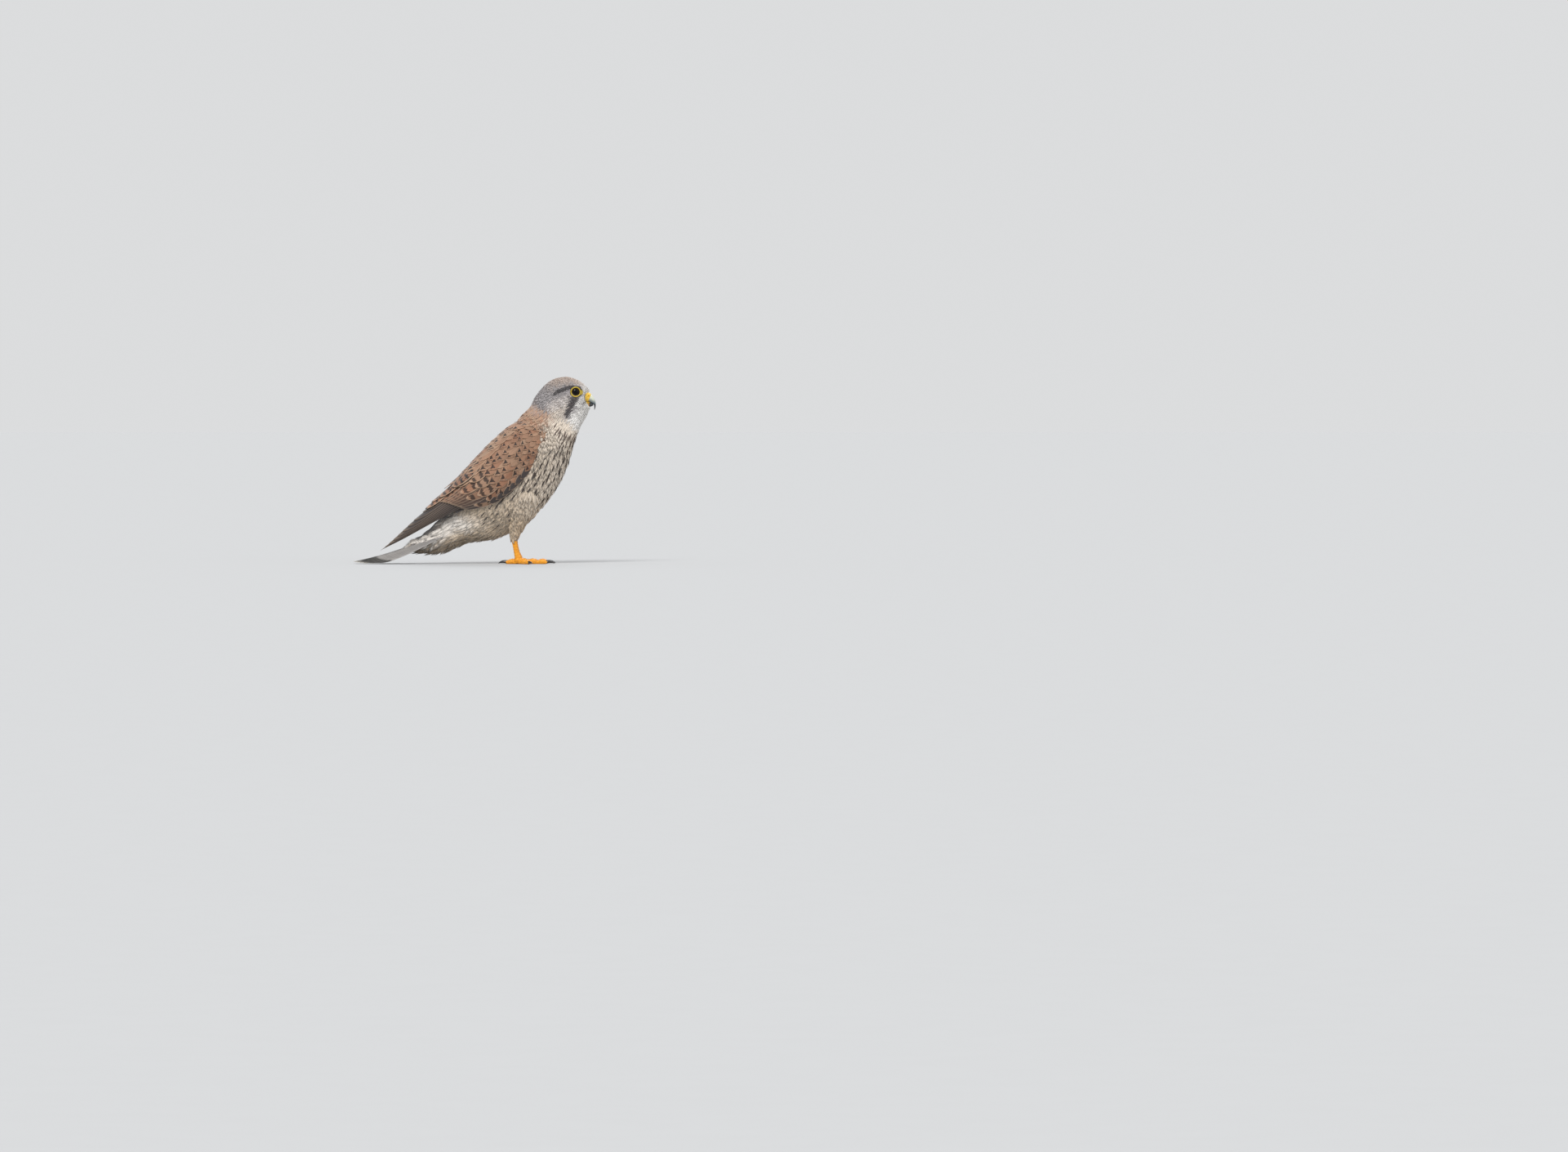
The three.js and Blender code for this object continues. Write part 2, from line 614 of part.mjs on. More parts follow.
let face = between(whole, [HEAD_CUT, 1]);
for (const [, side] of SIDES) face = face.add(brow(side));
for (const [, side] of SIDES) face = face.subtract(eyeball(side, GAP)).subtract(lidRing(side, GAP));
face = face.subtract(billLoft(UPPER_BILL, GAP)).subtract(billLoft(LOWER_BILL, GAP));
add("head", face, "#8f8b8a");
add("neck", between(whole, [HEAD_CUT, -1], [NECK_CUT, 1]), "#c9a98b");
add("torso", between(whole, [NECK_CUT, -1], [TAIL_CUT, 1]), "#d8cab2");
const tailBase = between(whole, [TAIL_CUT, -1]);
add("tail", tailVanes().reduce((joined, next) => joined.add(next), tailBase), "#9c9a98");

let cere = between(billLoft(UPPER_BILL), [CERE_CUT, 1]);
for (const [, side] of SIDES) cere = cere.subtract(nostril(side));
add("cere", cere, "#e8b33a", 0.5);
add("bill_upper", between(billLoft(UPPER_BILL), [CERE_CUT, -1]), "#3b3f45", 0.35);
add("bill_lower", billLoft(LOWER_BILL).subtract(billLoft(UPPER_BILL, GAP)), "#3b3f45", 0.35);

for (const [name, side] of SIDES) {
  add(`eye_${name}`, eyeball(side), "#1c120c", 0.05);
  add(`eyelid_${name}`, lidRing(side).subtract(eyeball(side, GAP)), "#e6cf2c", 0.5);
  const midline = new THREE.BoxGeometry(REACH, REACH, REACH);
  midline.translate(0, side * (REACH / 2 + GAP), 0);
  add(`wing_${name}`, wing(side).intersect(solid(midline)).subtract(looseFit), PLUMAGE);
  add(`thigh_${name}`, thigh(side).subtract(closeFit), "#cbb693");
  add(`shank_${name}`, shank(side), "#f0a01c", 0.5);
  const toes = new Map();
  for (const toe of TOES) {
    let made = toeTube(toe, side).subtract(shank(side, GAP));
    for (const other of toes.keys()) made = made.subtract(toeTube(other, side, GAP));
    toes.set(toe, made);
    add(`toe_${toe.name}_${name}`, made, "#f0a01c", 0.5);
    add(`claw_${toe.name}_${name}`, clawTube(toe, side).subtract(toeTube(toe, side, GAP)), "#22201f", 0.3);
  }
}

export default root;
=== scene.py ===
"""A life-size common kestrel, an adult male: the feathered bird over its CAD solids.

Sizes are millimetres in the bird's own lines, where the feet stand at x = 0. They become metres in the
frame of the CAD when a mesh is made.
"""
import math

import bmesh
import bpy
import numpy as np
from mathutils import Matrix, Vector
from mathutils.kdtree import KDTree


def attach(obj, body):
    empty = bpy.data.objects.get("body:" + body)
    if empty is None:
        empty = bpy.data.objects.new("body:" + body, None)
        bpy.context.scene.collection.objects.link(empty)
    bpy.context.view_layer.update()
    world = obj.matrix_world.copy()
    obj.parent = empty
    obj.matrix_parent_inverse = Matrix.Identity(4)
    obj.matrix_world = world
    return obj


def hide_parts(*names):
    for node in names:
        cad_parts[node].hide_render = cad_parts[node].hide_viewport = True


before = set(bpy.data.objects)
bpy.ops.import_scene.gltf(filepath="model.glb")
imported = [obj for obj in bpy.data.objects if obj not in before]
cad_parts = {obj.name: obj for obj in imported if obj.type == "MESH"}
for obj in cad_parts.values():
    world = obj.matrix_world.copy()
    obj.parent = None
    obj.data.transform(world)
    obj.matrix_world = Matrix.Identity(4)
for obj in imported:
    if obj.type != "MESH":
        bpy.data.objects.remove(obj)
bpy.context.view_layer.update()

MM = 0.001
CENTRING = 47.4
SIDES = (("right", -1), ("left", 1))

# The body's cross-sections in the side view: back edge x, z, front edge x, z, and half of the width.
BODY = np.array([
    [76.3, 184.5, 76, 171.5, 6],
    [74.6, 190.2, 76.6, 167.2, 10.5],
    [64, 198.5, 74.5, 160.5, 16],
    [50, 202, 71, 154, 18.5],
    [34, 197.5, 68.5, 149.5, 19.5],
    [20.5, 184.5, 66.5, 145, 20],
    [12.5, 171, 64, 140, 21.5],
    [2, 159, 61, 132, 25.5],
    [-12, 142, 58, 122, 29.5],
    [-29, 123, 53, 107, 31],
    [-43, 104.5, 44.5, 88, 31],
    [-54, 90, 32, 69, 29.5],
    [-63.5, 76, 12, 46.5, 26],
    [-73, 62, -16, 31, 20],
    [-84, 50, -48, 24.5, 14],
    [-98, 36, -81, 14, 10],
    [-112, 25.5, -108, 13.5, 6],
])
FACE_HOLLOW, FACE_STATIONS = 6, 3  # how far the sides of the face draw in, and over how many rows
COAT_DEPTH = 1.2  # how far the skin lies inside the solids

# The folded wing: length along it from the wrist, its upper and lower edge, and how far it stands out.
WING_BEND = np.array([33, 0, 136])
WING_REST = math.radians(33)
WING = np.array([
    [-6, 14, -1, 24],
    [18, 31, -9, 32.5],
    [52, 29, -20, 36],
    [85, 21.5, -23.5, 34.5],
    [117, 13.5, -16, 26],
    [155, 6.5, -11, 17.5],
    [190, 3, -8, 12.5],
    [230, 0.5, -4, 9.5],
])
WING_LENGTH = 228
WING_WRAP = 2.1
WING_EDGE = 2.2

TAIL_ROOT = np.array([-31.4, 0, 62.6])
TAIL_LENGTH = 160
TAIL_SLOPES = (math.radians(35), math.radians(11))
TAIL_STEPS = (0, 1.5, 4, 7, 11, 17)
TAIL_SPACING = 1.7

LEG_APART = 14
THIGH = np.array([
    [12, 86, 8],
    [9, 76, 14.5],
    [4.5, 62, 14.5],
    [0, 48, 10.8],
    [-3, 36, 7],
    [-4.6, 28, 4.6],
])
SHANK = np.array([
    [-4.6, 33, 2.8],
    [-4.5, 27, 2.9],
    [-3.6, 21, 2.4],
    [-2, 13, 2.6],
    [-0.4, 7.5, 3.4],
    [0.4, 3.8, 4.3],
    [0.4, 1.2, 3.6],
])
TOES = (
    {"name": "middle", "bearing": 4, "length": 31, "joints": 3, "thick": 2.8, "claw": 10.5},
    {"name": "inner", "bearing": -20, "length": 21.5, "joints": 2, "thick": 2.7, "claw": 10.5},
    {"name": "outer", "bearing": 58, "length": 22.5, "joints": 3, "thick": 2.5, "claw": 9},
    {"name": "hind", "bearing": 186, "length": 13, "joints": 1, "thick": 2.7, "claw": 10.5},
)
EYE = np.array([61.5, 12.9, 185.2])
EYE_RADIUS = 5.3
BROW, BROW_SIZE, BROW_TILT = (61, 12.4, 191), (8, 2.3, 1.8), 0.1

UPPER_BILL = np.array([
    [70, 186.5, 70, 174, 6.6],
    [74.6, 185, 73.5, 173.8, 5.8],
    [78, 182.6, 76, 173.4, 4.9],
    [80.6, 179.8, 78.2, 172.9, 3.9],
    [82.5, 176.2, 80.2, 172.2, 2.9],
    [83.3, 172.4, 81.3, 170.8, 1.9],
    [83, 168.8, 81.6, 168.4, 1],
    [82.1, 165.9, 81.5, 166, 0.35],
])
LOWER_BILL = np.array([
    [70, 173, 69, 168.6, 5.3],
    [74, 172.9, 73.5, 168.5, 4.5],
    [77.3, 172.4, 76.8, 168.8, 3.4],
    [79.6, 171.6, 79.2, 169.6, 2.2],
    [80.6, 170.8, 80.5, 170.3, 1],
])
CERE_CUT = ((80.2, 186), (72.8, 170))  # the cere ends on this line of the side view
NOSTRIL = (75.6, 180.4)


# Small helpers

def lerp(a, b, u):
    return a + (b - a) * u


def smooth(edge0, edge1, x):
    t = np.clip((np.asarray(x, float) - edge0) / (edge1 - edge0), 0, 1)
    return t * t * (3 - 2 * t)


def unit(v):
    return v / np.maximum(np.linalg.norm(v, axis=-1, keepdims=True), 1e-9)


def linear(code):
    """A colour written as #rrggbb in the linear values that shaders use."""
    parts = np.array([int(code[i:i + 2], 16) / 255 for i in (1, 3, 5)])
    return np.where(parts <= 0.04045, parts / 12.92, ((parts + 0.055) / 1.055) ** 2.4)


def through(places, values, x):
    """Numbers that run smoothly through the rows of values at their places."""
    x = np.clip(np.asarray(x, float), places[0], places[-1])
    i = np.clip(np.searchsorted(places, x, side="right") - 1, 0, len(places) - 2)
    before = np.maximum(np.arange(len(places)) - 1, 0)
    after = np.minimum(np.arange(len(places)) + 1, len(places) - 1)
    slopes = (values[after] - values[before]) / (places[after] - places[before])[:, None]
    step = (places[i + 1] - places[i])[..., None]
    t = (x - places[i])[..., None] / step
    t2, t3 = t * t, t * t * t
    return ((2 * t3 - 3 * t2 + 1) * values[i] + (t3 - 2 * t2 + t) * step * slopes[i]
            + (3 * t2 - 2 * t3) * values[i + 1] + (t3 - t2) * step * slopes[i + 1])


def row_at(rows, place):
    """The row of numbers at a place counted in rows, or between two of them."""
    return through(np.arange(len(rows), dtype=float), rows, place)


def around_once(count):
    return np.linspace(0, 2 * math.pi, count, endpoint=False)


def ring_grid(first, last, rings, around):
    """Two like grids for a loft: the place of each ring, and the turn of each of its points."""
    return np.meshgrid(np.linspace(first, last, rings), around_once(around), indexing="ij")


def section_point(rows, place, turn, grow=0.0):
    """A point of a loft whose rings are given by two edges in the side view and a half width."""
    row = row_at(rows, place)
    back = np.stack([row[..., 0], 0 * row[..., 0], row[..., 1]], -1)
    front = np.stack([row[..., 2], 0 * row[..., 2], row[..., 3]], -1)
    axis = (back - front) / 2
    length = np.linalg.norm(axis, axis=-1, keepdims=True)
    grow = np.asarray(grow, float)[..., None] * np.ones_like(length)
    axis = axis * (1 + grow / np.maximum(length, 1e-6))
    turn = np.asarray(turn, float)[..., None]
    made = (back + front) / 2 + axis * np.cos(turn)
    made[..., 1] = ((row[..., 4:5] + grow) * np.sin(turn))[..., 0]
    return made


def body_point(place, turn, grow=0.0):
    made = section_point(BODY, place, turn, grow)
    made[..., 0] -= FACE_HOLLOW * smooth(FACE_STATIONS, 0, place) * np.sin(turn) ** 2
    return made


def wing_skin(s, v, side):
    row = through(WING[:, 0], WING[:, 1:], s)
    top, low, out = row[..., 0], row[..., 1], row[..., 2]
    end = math.cos(WING_WRAP)
    middle = (low - end * top) / (1 - end)
    rise = middle + (top - middle) * np.cos(v * WING_WRAP)
    made = np.empty(np.broadcast(s, v).shape + (3,))
    cos, sin = math.cos(WING_REST), math.sin(WING_REST)
    made[..., 0] = WING_BEND[0] - cos * s - sin * rise
    made[..., 1] = side * (WING_EDGE + (out - WING_EDGE) * np.sin(v * WING_WRAP))
    made[..., 2] = WING_BEND[2] - sin * s + cos * rise
    return made


def wing_point(s, v, height, side):
    here = wing_skin(s, v, side)
    lengthwise = wing_skin(s + 1, v, side) - here
    across = wing_skin(s, v + 0.02, side) - wing_skin(s, v - 0.02, side)
    normal = unit(np.cross(across, lengthwise)) * side
    return here + normal * np.asarray(height)[..., None]


def wing_girth(s):
    v = np.linspace(0, 1, 9)
    places = wing_skin(np.full(9, float(s)), v, 1)
    return np.linalg.norm(np.diff(places, axis=0), axis=1).sum()


def tail_point(s, y, height):
    bend = (TAIL_SLOPES[1] - TAIL_SLOPES[0]) / TAIL_LENGTH
    slope = TAIL_SLOPES[0] + bend * s
    run = (np.sin(slope) - math.sin(TAIL_SLOPES[0])) / bend
    drop = (math.cos(TAIL_SLOPES[0]) - np.cos(slope)) / bend
    return np.stack([
        TAIL_ROOT[0] - run - height * np.sin(slope), y + 0 * slope,
        TAIL_ROOT[2] - drop + height * np.cos(slope),
    ], -1)


# Meshes

def in_metres(points):
    return (np.asarray(points) + np.array([CENTRING, 0, 0])) * MM


def add_object(name, data):
    made = bpy.data.objects.new(name, data)
    bpy.context.scene.collection.objects.link(made)
    return made


def add_mesh(name, points, faces):
    mesh = bpy.data.meshes.new(name)
    mesh.from_pydata(np.asarray(points).tolist(), [], [list(map(int, f)) for f in faces])
    mesh.update()
    mesh.polygons.foreach_set("use_smooth", [True] * len(mesh.polygons))
    return add_object(name, mesh)


def mesh_piece(name, points, faces):
    return add_mesh(name, in_metres(points), faces)


def join_lofts(lofts, closed_ring):
    """Grids of rings as one list of points and faces, with ends or each closed on itself."""
    faces, first = [], 0
    for grid in lofts:
        rings, around = grid.shape[:2]
        for r in range(rings if closed_ring else rings - 1):
            here, ahead = first + r * around, first + (r + 1) % rings * around
            for i in range(around):
                j = (i + 1) % around
                faces.append((here + i, here + j, ahead + j, ahead + i))
        if not closed_ring:
            faces.append(range(first + around - 1, first - 1, -1))
            faces.append(range(first + (rings - 1) * around, first + rings * around))
        first += rings * around
    return np.concatenate([grid.reshape(-1, 3) for grid in lofts]), faces


def face_outwards(piece):
    made = bmesh.new()
    made.from_mesh(piece.data)
    bmesh.ops.recalc_face_normals(made, faces=made.faces)
    made.to_mesh(piece.data)
    made.free()


def point_attributes(piece, **given):
    """Numbers, vectors and ground colours kept at the points of a piece."""
    for name, values in given.items():
        values = np.asarray(values, dtype=np.float32)
        kind, key = ("FLOAT", "value") if values.ndim == 1 else ("FLOAT_VECTOR", "vector")
        if name == "ground":
            kind, key = "FLOAT_COLOR", "color"
            values = np.concatenate([values, np.ones((len(values), 1), np.float32)], 1)
        piece.data.attributes.new(name, kind, "POINT").data.foreach_set(key, values.ravel())


def settle(piece):
    """Makes what a piece's modifiers give into its own mesh."""
    bpy.context.view_layer.update()
    made = piece.evaluated_get(bpy.context.evaluated_depsgraph_get())
    mesh = bpy.data.meshes.new_from_object(made)
    piece.modifiers.clear()
    piece.data = mesh
    return mesh


def finish_piece(piece, slot, *nodes):
    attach(piece, "root")
    if nodes:
        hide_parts(*nodes)


def loft_piece(name, lofts, finish, slot, *nodes, closed_ring=False):
    piece = mesh_piece(name, *join_lofts(lofts, closed_ring))
    face_outwards(piece)
    piece.data.materials.append(MATERIALS[finish])
    finish_piece(piece, slot, *nodes)
    return piece


# Shader groups

class Graph:
    """Short ways to place and join nodes in one tree."""

    def __init__(self, tree):
        self.tree = tree

    def feed(self, target, value):
        if isinstance(value, bpy.types.NodeSocket):
            self.tree.links.new(value, target)
        else:
            target.default_value = value

    def node(self, kind, settings=None, **inputs):
        made = self.tree.nodes.new(kind)
        for key, value in (settings or {}).items():
            setattr(made, key, value)
        for key, value in inputs.items():
            self.feed(made.inputs[key.replace("_", " ")], value)
        return made

    def math(self, operation, *values, clamp=False):
        made = self.node("ShaderNodeMath", {"operation": operation, "use_clamp": clamp})
        for target, value in zip(made.inputs, values):
            self.feed(target, value)
        return made.outputs[0]

    def times(self, a, b, clamp=False):
        return self.math("MULTIPLY", a, b, clamp=clamp)

    def plus(self, a, b):
        return self.math("ADD", a, b)

    def minus(self, a, b):
        return self.math("SUBTRACT", a, b)

    def larger(self, a, b):
        return self.math("MAXIMUM", a, b)

    def ramp(self, value, low, high, to_low=0.0, to_high=1.0):
        made = self.node("ShaderNodeMapRange", {"interpolation_type": "SMOOTHSTEP"}, Value=value,
                         From_Min=low, From_Max=high, To_Min=to_low, To_Max=to_high)
        return made.outputs["Result"]

    def mix(self, share, a, b, blend="MIX"):
        made = self.node("ShaderNodeMix", {"data_type": "RGBA", "blend_type": blend})
        for place, value in ((0, share), (6, a), (7, b)):
            self.feed(made.inputs[place], value)
        return made.outputs[2]

    def parts(self, vector):
        return self.node("ShaderNodeSeparateXYZ", Vector=vector).outputs

    def attribute(self, name):
        return self.node("ShaderNodeAttribute", {"attribute_name": name}).outputs

    def place(self):
        return self.node("ShaderNodeTexCoord").outputs["Object"]

    def noise(self, scale, detail, place):
        return self.node("ShaderNodeTexNoise", Vector=place, Scale=scale, Detail=detail).outputs["Fac"]


def new_group(name, kind, inputs, outputs):
    """An empty node group with its sockets, its graph, and what its inputs give."""
    group = bpy.data.node_groups.new(name, kind)
    for way, sockets in (("INPUT", inputs), ("OUTPUT", outputs)):
        for key, sort, *default in sockets:
            made = group.interface.new_socket(key, in_out=way, socket_type="NodeSocket" + sort)
            if default:
                made.default_value = default[0]
    g = Graph(group)
    return group, g, g.node("NodeGroupInput").outputs


def vane_group():
    """Markings, barbs and shaft of a feather, from its own vane coordinates: u along, w across."""
    group, g, given = new_group("vane_markings", "ShaderNodeTree", (
        ("Vane", "Vector"), ("Marks", "Vector"), ("Ground", "Color"), ("Fringe", "Float", 0.0),
        ("Dark", "Color", (0.02, 0.012, 0.008, 1)), ("Pale", "Color", (0.6, 0.42, 0.26, 1)),
        ("Bar Count", "Float", 4.0), ("Barb Count", "Float", 60.0), ("Shaft", "Float", 0.5),
    ), (("Color", "Color"), ("Height", "Float")))
    u, w, seed = g.parts(given["Vane"])
    spot, bars, streak = g.parts(given["Marks"])
    side = g.math("ABSOLUTE", w)
    noise = g.node("ShaderNodeTexNoise", {"noise_dimensions": "4D"}, Vector=given["Vane"],
                   W=g.times(seed, 37.0), Scale=5.0, Detail=2.0).outputs["Fac"]
    wobble = g.times(g.minus(noise, 0.5), 0.22)
    uu, ww = g.plus(u, wobble), g.plus(side, wobble)

    along = g.plus(u, g.times(wobble, -0.6))
    point = g.minus(g.math("MULTIPLY_ADD", side, -0.30, 0.96), along)
    arrow = g.times(g.ramp(point, -0.012, 0.02), g.ramp(along, 0.735, 0.775))
    arrow = g.times(arrow, spot, clamp=True)

    wave = g.math("COSINE", g.times(g.times(uu, given["Bar Count"]), 2 * math.pi))
    bar = g.times(g.ramp(wave, 0.05, 0.4), g.ramp(ww, 0.70, 0.92, 1, 0))
    bar = g.times(bar, bars, clamp=True)

    drop = g.minus(g.times(g.ramp(uu, 0.15, 0.72), 0.36), ww)
    drop = g.times(g.ramp(drop, -0.05, 0.06), g.ramp(uu, 0.92, 1.0, 1, 0))
    drop = g.times(drop, streak, clamp=True)

    edge = g.larger(g.ramp(ww, 0.74, 0.92), g.ramp(uu, 0.90, 0.98))
    edge = g.times(edge, given["Fringe"], clamp=True)
    lean = g.minus(g.times(u, given["Barb Count"]), g.times(side, 9.0))
    barbs = g.math("SINE", g.times(g.math("MULTIPLY_ADD", noise, 0.7, lean), 6.283))
    shaft = g.times(g.ramp(side, 0.02, 0.07, 1, 0), given["Shaft"])

    tone = g.mix(g.times(g.ramp(noise, 0.3, 0.75), 0.30), given["Ground"], (0.62, 0.60, 0.58, 1), "MULTIPLY")
    tone = g.mix(edge, tone, given["Pale"])
    tone = g.mix(g.larger(g.larger(arrow, bar), drop), tone, given["Dark"])
    root_shade = g.ramp(u, 0.0, 0.5, 0.2, 0)
    for share, grey in ((g.ramp(barbs, -1, 1, 0, 0.16), 0.45), (shaft, 0.4), (root_shade, 0.5)):
        tone = g.mix(share, tone, (grey, grey, grey, 1), "MULTIPLY")
    g.node("NodeGroupOutput", Color=tone, Height=g.plus(g.times(barbs, 0.25), shaft))
    return group


def grain_group():
    """Fine pits and mottling for skin and horn."""
    group, g, given = new_group("fine_grain", "ShaderNodeTree", (
        ("Scale", "Float", 400.0), ("Depth", "Float", 0.5), ("Base", "Color"), ("Shade", "Color"),
    ), (("Color", "Color"), ("Height", "Float")))
    place = g.place()
    noise = g.noise(given["Scale"], 4.0, place)
    cells = g.node("ShaderNodeTexVoronoi", {"feature": "DISTANCE_TO_EDGE"}, Vector=place,
                   Scale=given["Scale"])
    crease = g.ramp(cells.outputs["Distance"], 0.0, 0.09, 1, 0)
    share = g.times(g.larger(g.times(crease, 0.8), g.ramp(noise, 0.45, 0.75)), given["Depth"], clamp=True)
    g.node("NodeGroupOutput", Color=g.mix(share, given["Base"], given["Shade"]),
           Height=g.minus(g.times(noise, 0.3), crease))
    return group


VANE_GROUP = vane_group()
GRAIN_GROUP = grain_group()


def rgba(colour):
    return (*[float(c) for c in (linear(colour) if isinstance(colour, str) else colour)], 1.0)


def new_material(name, roughness, sheen=0.0, coat=0.0, specular=0.5, subsurface=0.0):
    material = bpy.data.materials.new(name)
    material.use_nodes = True
    shader = material.node_tree.nodes["Principled BSDF"]
    for key, value in (
        ("Roughness", roughness), ("Sheen Weight", sheen), ("Sheen Roughness", 0.5), ("Coat Weight", coat),
        ("Coat Roughness", 0.08), ("Specular IOR Level", specular), ("Subsurface Weight", subsurface),
        ("Subsurface Scale", 0.002),
    ):
        shader.inputs[key].default_value = value
    return material, Graph(material.node_tree), shader


def paint(g, shader, colour, height, depth, strength=0.6):
    """Gives a surface its colour, and the bump of its height."""
    g.feed(shader.inputs["Base Color"], colour)
    bump = g.node("ShaderNodeBump", Strength=strength, Distance=depth, Height=height)
    g.feed(shader.inputs["Normal"], bump.outputs["Normal"])


def plumage_material(name, dark, pale, bars=4.0, barbs=60.0, shaft=0.5, roughness=0.62, sheen=0.25):
    material, g, shader = new_material(name, roughness, sheen=sheen, specular=0.3)
    made = g.node("ShaderNodeGroup", {"node_tree": VANE_GROUP}, Vane=g.attribute("vane")["Vector"],
                  Marks=g.attribute("marks")["Vector"], Ground=g.attribute("ground")["Color"],
                  Fringe=g.attribute("fringe")["Fac"], Dark=rgba(dark), Pale=rgba(pale), Bar_Count=bars,
                  Barb_Count=barbs, Shaft=shaft).outputs
    paint(g, shader, made["Color"], made["Height"], 0.00006)
    return material


def skin_material():
    """The down between the feathers, in the same markings, darkened with noise as painted shade in the gaps.
    """
    material, g, shader = new_material("down", 0.85, sheen=0.3, specular=0.2)
    noise = g.noise(900.0, 5.0, g.place())
    # Painted shade: noise darkens the down by up to about a quarter, so the gaps between the feathers read as
    # shaded.
    tone = g.mix(g.ramp(noise, 0.3, 0.7, 0.05, 0.4), g.attribute("ground")["Color"], (0.4, 0.38, 0.36, 1),
                 "MULTIPLY")
    paint(g, shader, tone, noise, 0.0004)
    return material


def grain(g, base, shade, scale, depth):
    return g.node("ShaderNodeGroup", {"node_tree": GRAIN_GROUP}, Scale=scale, Depth=depth, Base=rgba(base),
                  Shade=rgba(shade)).outputs


def grained_material(name, base, shade, scale, depth, roughness, bump_depth=0.00015, **looks):
    material, g, shader = new_material(name, roughness, **looks)
    made = grain(g, base, shade, scale, depth)
    paint(g, shader, made["Color"], made["Height"], bump_depth)
    return material


def bill_material():
    """Pale horn under the cere, blue grey along the sides, and a black hook and cutting edge."""
    material, g, shader = new_material("bill_horn", 0.28, coat=0.5)
    x, _, z = g.parts(g.place())
    noise = g.noise(350.0, 3.0, g.place())
    edge_x, edge_z, slope = (CENTRING + 75) * MM, 174 * MM, 0.375
    above = g.math("MULTIPLY_ADD", g.minus(x, edge_x), slope, g.minus(z, edge_z))
    above = g.math("MULTIPLY_ADD", g.minus(noise, 0.5), 1.6 * MM, above)
    tone = g.mix(g.ramp(above, 1.0 * MM, 6.5 * MM), rgba("#5f6b71"), rgba("#cbcfbb"))
    tone = g.mix(g.ramp(above, -0.6 * MM, 2.0 * MM), rgba("#15171a"), tone)
    tone = g.mix(g.ramp(x, edge_x + 0.2 * MM, edge_x + 1.8 * MM), rgba("#b98a48"), tone)
    paint(g, shader, tone, noise, 0.0001, 0.3)
    return material


def from_eye(g):
    """How far a place of the side view lies ahead of the eye's middle, above it and away from it."""
    middle_x, _, middle_z = in_metres(EYE).tolist()
    x, _, z = g.parts(g.place())
    along, upward = g.minus(x, middle_x + 0.0004), g.minus(z, middle_z)
    reach = g.math("SQRT", g.plus(g.math("POWER", along, 2.0), g.math("POWER", upward, 2.0)))
    return along, upward, reach


def ring_material():
    """Yellow skin round the eye, thin behind and broader towards the bill, with a dark outer edge."""
    material, g, shader = new_material("eye_ring_skin", 0.5, subsurface=0.1)
    made = grain(g, "#c4a92e", "#7d6a1c", 1300.0, 0.5)
    along, upward, reach = from_eye(g)
    height = g.math("ABSOLUTE", g.plus(upward, 0.0006))
    height = g.math("MULTIPLY_ADD", g.larger(g.minus(along, 0.0050), 0.0), 0.25, height)
    patch = g.times(g.ramp(along, 0.0040, 0.0050), g.ramp(height, 0.0021, 0.0032, 1, 0))
    rim = g.times(g.ramp(reach, 0.0053, 0.0058), g.minus(1.0, patch), clamp=True)
    crease = g.ramp(g.math("ABSOLUTE", g.minus(reach, 0.0056)), 0.0002, 0.0005, 0.45, 0)
    tone = g.mix(g.larger(rim, g.times(crease, patch)), made["Color"], rgba("#2a2320"))
    paint(g, shader, tone, made["Height"], 0.00015)
    return material


def eye_material():
    """A very dark brown iris round a black pupil, under a wet surface."""
    material, g, shader = new_material("wet_eye", 0.03, specular=0.16)
    _, _, reach = from_eye(g)
    iris = g.mix(g.noise(1500.0, 3.0, g.place()), rgba("#120906"), rgba("#26150c"))
    g.feed(shader.inputs["Base Color"], g.mix(g.ramp(reach, 0.0024, 0.0028), rgba("#030303"), iris))
    return material


MATERIALS = {
    "down": skin_material(),
    "head": plumage_material("head_plumage", "#6b5a54", "#e2dcd5", barbs=16, shaft=0.32, sheen=0.35),
    "mantle": plumage_material("mantle_plumage", "#241915", "#c9a78c", barbs=24, shaft=0.3),
    "breast": plumage_material("breast_plumage", "#3d2a21", "#ece2d2", barbs=26, shaft=0.08, sheen=0.35),
    "belly": plumage_material("belly_plumage", "#4a3727", "#e9e0d1", barbs=26, shaft=0.06, roughness=0.75,
                              sheen=0.5),
    "covert": plumage_material("covert_plumage", "#1f1613", "#c8a68a", bars=3.6, shaft=0.3),
    "quill": plumage_material("flight_plumage", "#1d1614", "#b49c85", bars=7.0, barbs=130, shaft=0.8,
                              roughness=0.5),
    "tail": plumage_material("tail_plumage", "#1b1a1b", "#dcd6cb", bars=9.0, barbs=160, shaft=0.85,
                             sheen=0.05),
    "horn": bill_material(),
    "cere": grained_material("cere_wax", "#e6bd3c", "#b98f22", 900.0, 0.3, 0.42, coat=0.3, subsurface=0.15),
    "eye_ring": ring_material(),
    "eye": eye_material(),
    "foot": grained_material("foot_scales", "#f0a11a", "#a8610c", 620.0, 0.5, 0.48, 0.0003, subsurface=0.15),
    "claw": grained_material("claw_horn", "#1b1a1a", "#34302d", 250.0, 0.6, 0.22, 0.00005, coat=0.6),
}


# Colours of the plumage

GREY, CROWN_BROWN, CHEEK = linear("#a19b9b"), linear("#d9c6b8"), linear("#dcd3cd")
SLATE, WHITE, CREAM = linear("#443d3f"), linear("#f8f5f1"), linear("#e6d8c7")
BUFF, CHESTNUT, RUFOUS = linear("#cfb99d"), linear("#ae7c61"), linear("#8f664e")
# The dark brown among these is painted shade under the hanging feathers at the rear of the belly.
PAINTED_SHADE_BROWN, FLIGHT, TAIL_GREY = linear("#786854"), linear("#413937"), linear("#8d8987")
FLANK_DUSK = linear("#bba890")


def blend(share, a, b):
    share = np.asarray(share, float)[..., None]
    return a * (1 - share) + b * share


